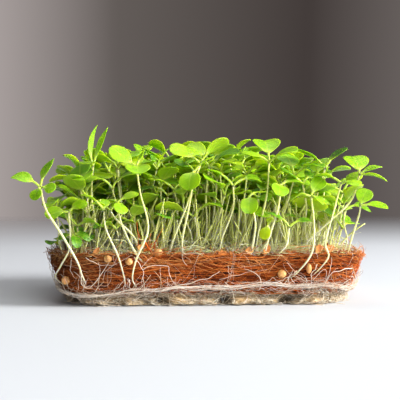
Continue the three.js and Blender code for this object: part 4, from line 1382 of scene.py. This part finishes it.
class Nodes:
    """Adds nodes to a material and joins them."""

    def __init__(self, name):
        self.material = bpy.data.materials.new(name)
        self.material.use_nodes = True
        self.tree = self.material.node_tree
        self.shader = self.tree.nodes["Principled BSDF"]

    def add(self, kind, inputs=None, **settings):
        node = self.tree.nodes.new(kind)
        for key, value in settings.items():
            setattr(node, key, value)
        for key, value in (inputs or {}).items():
            if isinstance(value, bpy.types.NodeSocket):
                self.tree.links.new(value, node.inputs[key])
            else:
                node.inputs[key].default_value = value
        return node

    def attribute(self, name):
        return self.add("ShaderNodeAttribute", attribute_name=name).outputs["Fac"]

    def math(self, operation, a, b=0.0, clamp=False):
        return self.add("ShaderNodeMath", {0: a, 1: b}, operation=operation, use_clamp=clamp).outputs[0]

    def noise(self, scale, detail=3.0, rough=0.55, stretch=(1, 1, 1)):
        place = self.add("ShaderNodeTexCoord").outputs["Object"]
        if stretch != (1, 1, 1):
            place = self.add("ShaderNodeMapping", {"Vector": place, "Scale": stretch}).outputs[0]
        inputs = {"Vector": place, "Scale": scale, "Detail": detail, "Roughness": rough}
        return self.add("ShaderNodeTexNoise", inputs).outputs["Fac"]

    def net(self, scale):
        """Distance to the threads of an irregular net with meshes flatter than they are wide."""
        place = self.add("ShaderNodeTexCoord").outputs["Object"]
        flat = self.add("ShaderNodeMapping", {"Vector": place, "Scale": (1, 1, 1.9)}).outputs[0]
        stray = self.add("ShaderNodeTexNoise", {"Vector": flat, "Scale": scale * 0.6}).outputs["Color"]
        bent = self.add(
            "ShaderNodeVectorMath", {0: stray, 1: (0.0016,) * 3, 2: flat}, operation="MULTIPLY_ADD"
        )
        inputs = {"Vector": bent.outputs[0], "Scale": scale}
        cells = self.add("ShaderNodeTexVoronoi", inputs, feature="DISTANCE_TO_EDGE")
        return cells.outputs["Distance"]

    def ramp(self, factor, *stops):
        node = self.add("ShaderNodeValToRGB", {"Fac": factor})
        elements = node.color_ramp.elements
        while len(elements) < len(stops):
            elements.new(0.5)
        for element, (position, colour) in zip(elements, stops):
            element.position = position
            element.color = (*colour, 1)
        return node.outputs["Color"]

    def blend(self, factor, a, b, blend_type="MIX"):
        node = self.add("ShaderNodeMix", data_type="RGBA", blend_type=blend_type)
        for socket, value in ((node.inputs[0], factor), (node.inputs[6], a), (node.inputs[7], b)):
            if isinstance(value, bpy.types.NodeSocket):
                self.tree.links.new(value, socket)
            else:
                socket.default_value = (*value, 1) if isinstance(value, tuple) else value
        return node.outputs[2]

    def bump(self, height, distance, strength=0.6):
        inputs = {"Height": height, "Distance": distance, "Strength": strength}
        normal = self.add("ShaderNodeBump", inputs).outputs["Normal"]
        self.tree.links.new(normal, self.shader.inputs["Normal"])

    def surface(self, colour, roughness, **inputs):
        for key, value in {"Base Color": colour, "Roughness": roughness, **inputs}.items():
            socket = self.shader.inputs[key.replace("_", " ")]
            if isinstance(value, bpy.types.NodeSocket):
                self.tree.links.new(value, socket)
            else:
                socket.default_value = value
        return self.material


def blade_material():
    """Thin, bright leaf skin that lets light through, with paler veins and a duller underside."""
    n = Nodes("leaf_blade")
    green, tone, under = n.attribute("green"), n.attribute("tone"), n.attribute("under")
    along, side = n.attribute("along"), n.attribute("side")
    mottled = n.noise(420.0, 4.0)
    shade = n.math("ADD", n.math("MULTIPLY", tone, 0.8), n.math("MULTIPLY", mottled, 0.3))
    upper = n.ramp(
        shade,
        (0.16, (0.014, 0.080, 0.002)),
        (0.40, (0.080, 0.240, 0.003)),
        (0.62, (0.220, 0.430, 0.005)),
        (0.88, (0.400, 0.560, 0.008)),
    )
    below = n.blend(0.45, upper, (0.36, 0.50, 0.03))
    skin = n.blend(under, upper, below)
    away = n.math("ABSOLUTE", side)
    fan = n.math("SUBTRACT", n.math("MULTIPLY", along, 7.0), n.math("MULTIPLY", away, 2.2))
    rib = n.math("SUBTRACT", 1.0, n.math("MULTIPLY", away, 9.0), True)
    wave = n.math("ABSOLUTE", n.math("SUBTRACT", n.math("FRACT", fan), 0.5))
    vein = n.math("SUBTRACT", 1.0, n.math("MULTIPLY", wave, 9.0), True)
    veins = n.math("MAXIMUM", rib, n.math("MULTIPLY", vein, 0.5))
    veined = n.blend(n.math("MULTIPLY", veins, 0.34), skin, (0.46, 0.60, 0.05))
    stalk = n.math("SUBTRACT", 1.0, n.math("DIVIDE", n.math("SUBTRACT", green, 0.6), 0.3), True)
    colour = n.blend(stalk, veined, (0.44, 0.57, 0.09))
    n.bump(n.math("ADD", n.math("MULTIPLY", mottled, 0.6), n.math("MULTIPLY", veins, -0.5)), 0.00018, 0.5)
    return n.surface(
        colour, 0.4, Specular_IOR_Level=0.28,
        Subsurface_Weight=0.8, Subsurface_Radius=(0.9, 1.0, 0.1), Subsurface_Scale=0.0012,
    )


def stem_material():
    """Watery stems: white near the root, pale green towards the crown."""
    n = Nodes("stem_skin")
    green, tone = n.attribute("green"), n.attribute("tone")
    streaks = n.noise(300.0, 2.0)
    base = n.ramp(
        green,
        (0.0, (0.70, 0.61, 0.48)),
        (0.12, (0.67, 0.66, 0.46)),
        (0.34, (0.68, 0.68, 0.28)),
        (0.58, (0.50, 0.56, 0.12)),
    )
    tinted = n.blend(n.math("MULTIPLY", tone, 0.3), base, (0.40, 0.46, 0.16))
    colour = n.blend(n.math("MULTIPLY", streaks, 0.2), tinted, (0.80, 0.82, 0.56))
    n.bump(streaks, 0.00012, 0.35)
    return n.surface(
        colour, 0.36, Specular_IOR_Level=0.25,
        Subsurface_Weight=0.75, Subsurface_Radius=(1.0, 1.0, 0.3), Subsurface_Scale=0.0013,
    )


def coir_material():
    """Coconut fibre: dark red-brown to orange, each fibre its own shade; painted shade darkens it in
    blotches towards the left end.
    """
    n = Nodes("coir_fibre")
    tone = n.attribute("tone")
    patches = n.noise(120.0, 2.0, stretch=(1, 1, 2.4))
    grain = n.noise(900.0, 3.0)
    shade = n.math("ADD", n.math("MULTIPLY", tone, 0.6), n.math("MULTIPLY", patches, 1.1))
    shade = n.math("SUBTRACT", shade, 0.3)
    fibre_colour = n.ramp(
        shade,
        (0.12, (0.085, 0.013, 0.004)),
        (0.34, (0.310, 0.052, 0.008)),
        (0.56, (0.580, 0.128, 0.018)),
        (0.80, (0.780, 0.235, 0.042)),
        (1.0, (0.880, 0.460, 0.180)),
    )
    # Painted shade: towards the left end, which faces away from the window light, the fibres turn dark brown
    # in blotches.
    place = n.add("ShaderNodeTexCoord").outputs["Object"]
    across = n.add("ShaderNodeSeparateXYZ", {0: place}).outputs["X"]
    left = n.math("MULTIPLY", n.math("SUBTRACT", -0.022, across), 26.0, True)
    left_end_shade = n.math("MULTIPLY", left, n.math("MULTIPLY", n.noise(90.0, 2.0), 1.7), True)
    colour = n.blend(left_end_shade, fibre_colour, (0.075, 0.026, 0.010))
    worn = n.blend(n.math("MULTIPLY", grain, 0.25), colour, (0.28, 0.06, 0.012))
    bleached = n.blend(n.attribute("tan"), worn, (0.56, 0.31, 0.11))
    n.bump(grain, 0.0001, 0.6)
    return n.surface(bleached, 0.7, Specular_IOR_Level=0.12)


def pith_material():
    """The dark, crumbly pith seen between the fibres."""
    n = Nodes("coir_pith")
    tone, crumbs = n.attribute("tone"), n.noise(520.0, 5.0, 0.7)
    shade = n.math("ADD", n.math("MULTIPLY", tone, 0.9), n.math("MULTIPLY", crumbs, 0.5))
    colour = n.ramp(
        shade,
        (0.2, (0.040, 0.010, 0.005)),
        (0.5, (0.140, 0.034, 0.012)),
        (0.8, (0.300, 0.090, 0.028)),
    )
    n.bump(crumbs, 0.0006, 0.9)
    return n.surface(colour, 0.9)


def root_material():
    """White, slightly glassy roots that turn cream and pinkish here and there."""
    n = Nodes("root_skin")
    tone, dusty, patches = n.attribute("tone"), n.attribute("dusty"), n.noise(160.0, 3.0)
    shade = n.math("ADD", n.math("MULTIPLY", tone, 0.6), n.math("MULTIPLY", patches, 0.5))
    clean = n.ramp(
        shade,
        (0.18, (0.62, 0.32, 0.18)),
        (0.46, (0.78, 0.56, 0.39)),
        (0.78, (0.92, 0.80, 0.66)),
    )
    colour = n.blend(dusty, clean, n.ramp(shade, (0.2, (0.46, 0.30, 0.14)), (0.8, (0.90, 0.76, 0.52))))
    n.bump(patches, 0.0002, 0.4)
    return n.surface(
        colour, 0.38, Subsurface_Weight=0.5, Subsurface_Radius=(1.0, 0.8, 0.6), Subsurface_Scale=0.001,
    )


def felt_material():
    """Matted root felt: a cream net with dark meshes, tan films on its lumps, and painted shade in its
    pockets and in the groove under the rope.
    """
    n = Nodes("root_felt")
    tone, hollow, film = n.attribute("tone"), n.attribute("hollow"), n.attribute("film")
    patches, fuzz, net = n.noise(110.0, 3.0), n.noise(1100.0, 4.0, 0.7), n.net(560.0)
    threads = n.ramp(fuzz, (0.35, (0.60, 0.46, 0.28)), (0.6, (0.95, 0.84, 0.64)))
    skin = n.ramp(
        patches,
        (0.36, (0.16, 0.09, 0.04)), (0.52, (0.78, 0.60, 0.36)), (0.66, (0.52, 0.34, 0.14)),
    )
    filmy = n.blend(film, skin, n.ramp(fuzz, (0.35, (0.52, 0.30, 0.10)), (0.65, (0.80, 0.57, 0.28))))
    open_ = n.ramp(net, (0.05, (0, 0, 0)), (0.2, (1, 1, 1)))
    sparse = n.math("SUBTRACT", 1.0, n.math("MULTIPLY", film, 0.8), True)
    meshes = n.math("MULTIPLY", n.math("SUBTRACT", 1.0, open_, True), sparse)
    netted = n.blend(meshes, filmy, threads)
    # Painted shade: the felt turns near-black in its pockets and in the groove under the rope.
    darker = n.blend(n.math("MULTIPLY", hollow, 0.8), netted, (0.05, 0.03, 0.014))
    n.bump(n.math("ADD", n.math("ADD", fuzz, meshes), tone), 0.0008, 0.9)
    return n.surface(darker, 0.7, Specular_IOR_Level=0.25)


def hull_material():
    """Dry tan seed coat, with painted shade darkening its crease."""
    n = Nodes("seed_coat")
    tone, crease, speckle = n.attribute("tone"), n.attribute("crease"), n.noise(1400.0, 3.0)
    base = n.ramp(
        n.math("ADD", n.math("MULTIPLY", tone, 0.6), n.math("MULTIPLY", speckle, 0.4)),
        (0.2, (0.55, 0.24, 0.06)),
        (0.6, (0.80, 0.44, 0.15)),
        (0.9, (0.88, 0.58, 0.26)),
    )
    # Painted shade in the crease.
    colour = n.blend(n.math("MULTIPLY", crease, 0.7), base, (0.28, 0.10, 0.03))
    n.bump(speckle, 0.00012, 0.5)
    return n.surface(colour, 0.42, Subsurface_Weight=0.25, Subsurface_Scale=0.0008)


# Pieces


def build_seedlings():
    materials = [stem_material(), blade_material()]
    front, small = seedlings_of(FRONT_ROW), seedlings_of(SMALL_FRONT)
    clumps = drawn_clumps(front)
    named = [(f"front_seedling_{i + 1:02d}", [one]) for i, one in enumerate(front)]
    named += [(f"seedling_clump_{i + 1:02d}", clump[2]) for i, clump in enumerate(clumps)]
    for index, (name, seedlings) in enumerate(named):
        shape = Shape()
        for twin, seedling in enumerate(seedlings):
            darkest, palest = (0.42, 0.75) if index < len(front) else (0, 0.9)
            add_seedling(shape, seedling, 900 + 17 * index + twin, darkest=darkest, palest=palest)
        piece = shape.build(f"fine_{name}", materials, "seedling")
        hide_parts(name)
    low = Shape()
    for index, seedling in enumerate(small):
        palest = SMALL_SHADES[index]
        add_seedling(low, seedling, 4000 + 7 * index, darkest=palest - SHADE_SPREAD, palest=palest)
    hand_set = [one for _, seedlings in named for one in seedlings] + small
    for index, seedling in enumerate(undergrowth_seedlings(hand_set)):
        # Painted shade: the undergrowth keeps to the darker leaf tones (palest=0.5).
        add_seedling(low, seedling, 8000 + 7 * index, fine=False, palest=0.5)
    low.build("low_seedlings", materials, "seedling")
    infill = infill_seedlings(hand_set)
    for bed in range(INFILL_BEDS):
        shape = Shape()
        for index, seedling in enumerate(infill[bed::INFILL_BEDS]):
            add_seedling(shape, seedling, 5000 + 101 * bed + index, fine=False)
        shape.build(f"infill_seedlings_{bed + 1}", materials, "seedling")
    thicket = Shape()
    rng = np.random.default_rng(THICKET_SEED)
    # Painted shade and green cast: the thicket is coloured olive (green=0.42) rather than the white of pale
    # roots.
    add_fibres(thicket, thicket_paths(THICKET_HAIRS, rng), rng, 0.05, 0.16, green=0.42)
    stems = slender_stem_paths(SLENDER_STEMS, rng)
    many, steps, _ = stems.shape
    sides = 4
    # Painted shade and green cast: the slender stems are olive green all along (green 0.35 to 0.6), with no
    # white foot.
    green = np.tile(np.repeat(np.linspace(0.35, 0.6, steps), sides), many)
    add_fibres(thicket, stems, rng, 0.27, 0.4, sides, green=green)
    thicket.build("stem_foot_thicket", materials[:1], "seedling")


def build_mat():
    fibre, pith = coir_material(), pith_material()
    rng = np.random.default_rng(COIR_SEED)
    core = coir_core().build("coir_core", [pith], "coir")
    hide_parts("coir_mat")
    sides = Shape()
    add_fibres(sides, level_fibres(LEVEL_FIBRES, rng), rng, 0.06, 0.22)
    add_fibres(sides, crossing_fibres(CROSSING_FIBRES, rng), rng, 0.04, 0.14)
    add_fibres(sides, loose_fibres(LOOSE_FIBRES, rng), rng, 0.035, 0.11)
    sides.build("coir_side_fibres", [fibre], "coir")
    top = Shape()
    add_fibres(top, coir_top_fibres(FIBRES_ON_TOP, rng), rng, 0.06, 0.24)
    add_fibres(top, standing_fibres(STANDING_FIBRES, rng), rng, 0.04, 0.15)
    points, faces = tubes(*tuft_paths(rng), 4)
    top.add(points, faces, 0, tone=0.6)
    husk_chips(top, HUSK_CHIPS, rng)
    top.build("coir_top_fibres", [fibre], "coir")
    edge = Shape()
    add_fibres(edge, edge_fibres(EDGE_FIBRES, rng), rng, 0.05, 0.2, tan=0.4)
    leaning_flakes(edge)
    edge.build("coir_edge_fibres", [fibre], "coir")


def build_roots():
    skin, felt = root_material(), felt_material()
    rng = np.random.default_rng(ROOT_SEED)
    body = root_felt_body().build("root_felt_body", [felt], "roots")
    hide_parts("root_felt")
    net = Shape()
    points, faces = tubes(*front_root_paths(), 6)
    net.add(points, faces, 0, tone=0.55, dusty=0)
    points, faces = tubes(rope_strands(), 0.1, 5)
    net.add(points, faces, 0, tone=0.75, dusty=0.1)
    for dusty in (0.15, 0.75):
        add_fibres(net, side_root_paths(SIDE_ROOTS // 2, rng), rng, 0.05, 0.17, dusty=dusty)
    add_fibres(net, face_root_paths(FACE_ROOTS, rng), rng, 0.035, 0.1, dusty=0.4)
    add_fibres(net, lace_root_paths(LACE_ROOTS, rng), rng, 0.035, 0.1, dusty=0.1)
    add_fibres(net, apron_root_paths(APRON_ROOTS, rng), rng, 0.04, 0.12, dusty=0.5)
    add_fibres(net, under_root_paths(UNDER_ROOTS, rng), rng, 0.1, 0.35, sides=4, dusty=0.7)
    net.build("root_net", [skin], "roots")
    hairs = Shape()
    add_fibres(hairs, root_hair_paths(ROOT_HAIRS, rng), rng, 0.03, 0.06, dusty=0.3)
    hairs.build("root_hairs", [skin], "roots")


def build_hulls():
    skin = hull_material()
    for index in range(len(SEED_HULLS)):
        seed_hull(index, skin)


# Stage, light and camera

VIEW_TURN = math.radians(4.5)  # the camera stands a little to the left of the front
CAMERA_DISTANCE = 281 * MM
CAMERA_HEIGHT = 35 * MM
AIM = Vector((-3.8 * MM, -39 * MM, CAMERA_HEIGHT))
LENS = 77.1


def build_stage():
    corners = [(-4, -1.5, 0), (4, -1.5, 0), (4, 4, 0), (-4, 4, 0)]
    mesh = bpy.data.meshes.new("floor")
    mesh.from_pydata(corners, [], [(0, 1, 2, 3)])
    mesh.materials.append(floor_material())
    floor = bpy.data.objects.new("floor", mesh)
    bpy.context.scene.collection.objects.link(floor)
    world = bpy.data.worlds.new("room")
    bpy.context.scene.world = world
    world.use_nodes = True
    shade_room(world.node_tree)


def floor_material():
    """A white table that fades into the room far behind the mat."""
    n = Nodes("table_top")
    place = n.add("ShaderNodeTexCoord").outputs["Object"]
    far = n.add("ShaderNodeSeparateXYZ", {0: place}).outputs["Y"]
    n.surface((0.58, 0.61, 0.65, 1), 0.6)
    fade = n.ramp(
        n.math("DIVIDE", far, 2.0, True),
        (0.16, (0, 0, 0)), (0.30, (0.3, 0.3, 0.3)), (0.8, (1, 1, 1)),
    )
    clear = n.add("ShaderNodeBsdfTransparent").outputs[0]
    both = n.add("ShaderNodeMixShader", {0: fade, 1: n.shader.outputs[0], 2: clear}).outputs[0]
    n.tree.links.new(both, n.tree.nodes["Material Output"].inputs["Surface"])
    return n.material


# The room's colours from far left to far right: the camera sees only the middle of them.
ROOM = [
    (0.30, (0.110, 0.100, 0.098)),
    (0.42, (0.400, 0.355, 0.345)),
    (0.49, (0.125, 0.108, 0.100)),
    (0.60, (0.056, 0.045, 0.042)),
    (0.65, (0.130, 0.112, 0.106)),
]


def shade_room(tree):
    """A warm grey room: light at the left of the view, dark behind the mat."""
    link = tree.links.new
    place = tree.nodes.new("ShaderNodeTexCoord").outputs["Generated"]
    parts = tree.nodes.new("ShaderNodeSeparateXYZ")
    link(place, parts.inputs[0])
    across = tree.nodes.new("ShaderNodeMapRange")
    across.inputs["From Min"].default_value = -1
    link(parts.outputs["X"], across.inputs["Value"])
    ramp = tree.nodes.new("ShaderNodeValToRGB")
    elements = ramp.color_ramp.elements
    while len(elements) < len(ROOM):
        elements.new(0.5)
    for element, (position, colour) in zip(elements, ROOM):
        element.position = position
        element.color = (*colour, 1)
    link(across.outputs[0], ramp.inputs["Fac"])
    link(ramp.outputs["Color"], tree.nodes["Background"].inputs["Color"])


def area_light(name, place, target, size, energy, colour=(1, 1, 1)):
    data = bpy.data.lights.new(name, "AREA")
    data.shape, data.size, data.energy, data.color = "DISK", size, energy, colour
    light = bpy.data.objects.new(name, data)
    light.location = place
    light.rotation_euler = (Vector(target) - Vector(place)).to_track_quat("-Z", "Y").to_euler()
    bpy.context.scene.collection.objects.link(light)


def build_lights():
    middle = (0, 0, 0.03)
    area_light("window", (0.88, -0.3, 0.44), middle, 0.45, 24, (1, 0.99, 0.97))
    area_light("front_fill", (0.5, -1.05, 0.5), middle, 0.9, 9.5, (1, 0.99, 0.97))
    area_light("top_fill", (0.1, 0.1, 1.3), middle, 1.0, 6.5)


def build_camera():
    data = bpy.data.cameras.new("camera")
    data.lens, data.sensor_width = LENS, 36
    data.clip_start = 0.01
    camera = bpy.data.objects.new("camera", data)
    ahead = Vector((math.sin(VIEW_TURN), math.cos(VIEW_TURN), 0))
    camera.location = AIM - CAMERA_DISTANCE * ahead
    camera.rotation_euler = (math.pi / 2, 0, -VIEW_TURN)
    bpy.context.scene.collection.objects.link(camera)
    bpy.context.scene.camera = camera


bpy.context.scene.view_settings.view_transform = "Standard"
build_camera()
build_stage()
build_lights()
build_seedlings()
build_mat()
build_roots()
build_hulls()
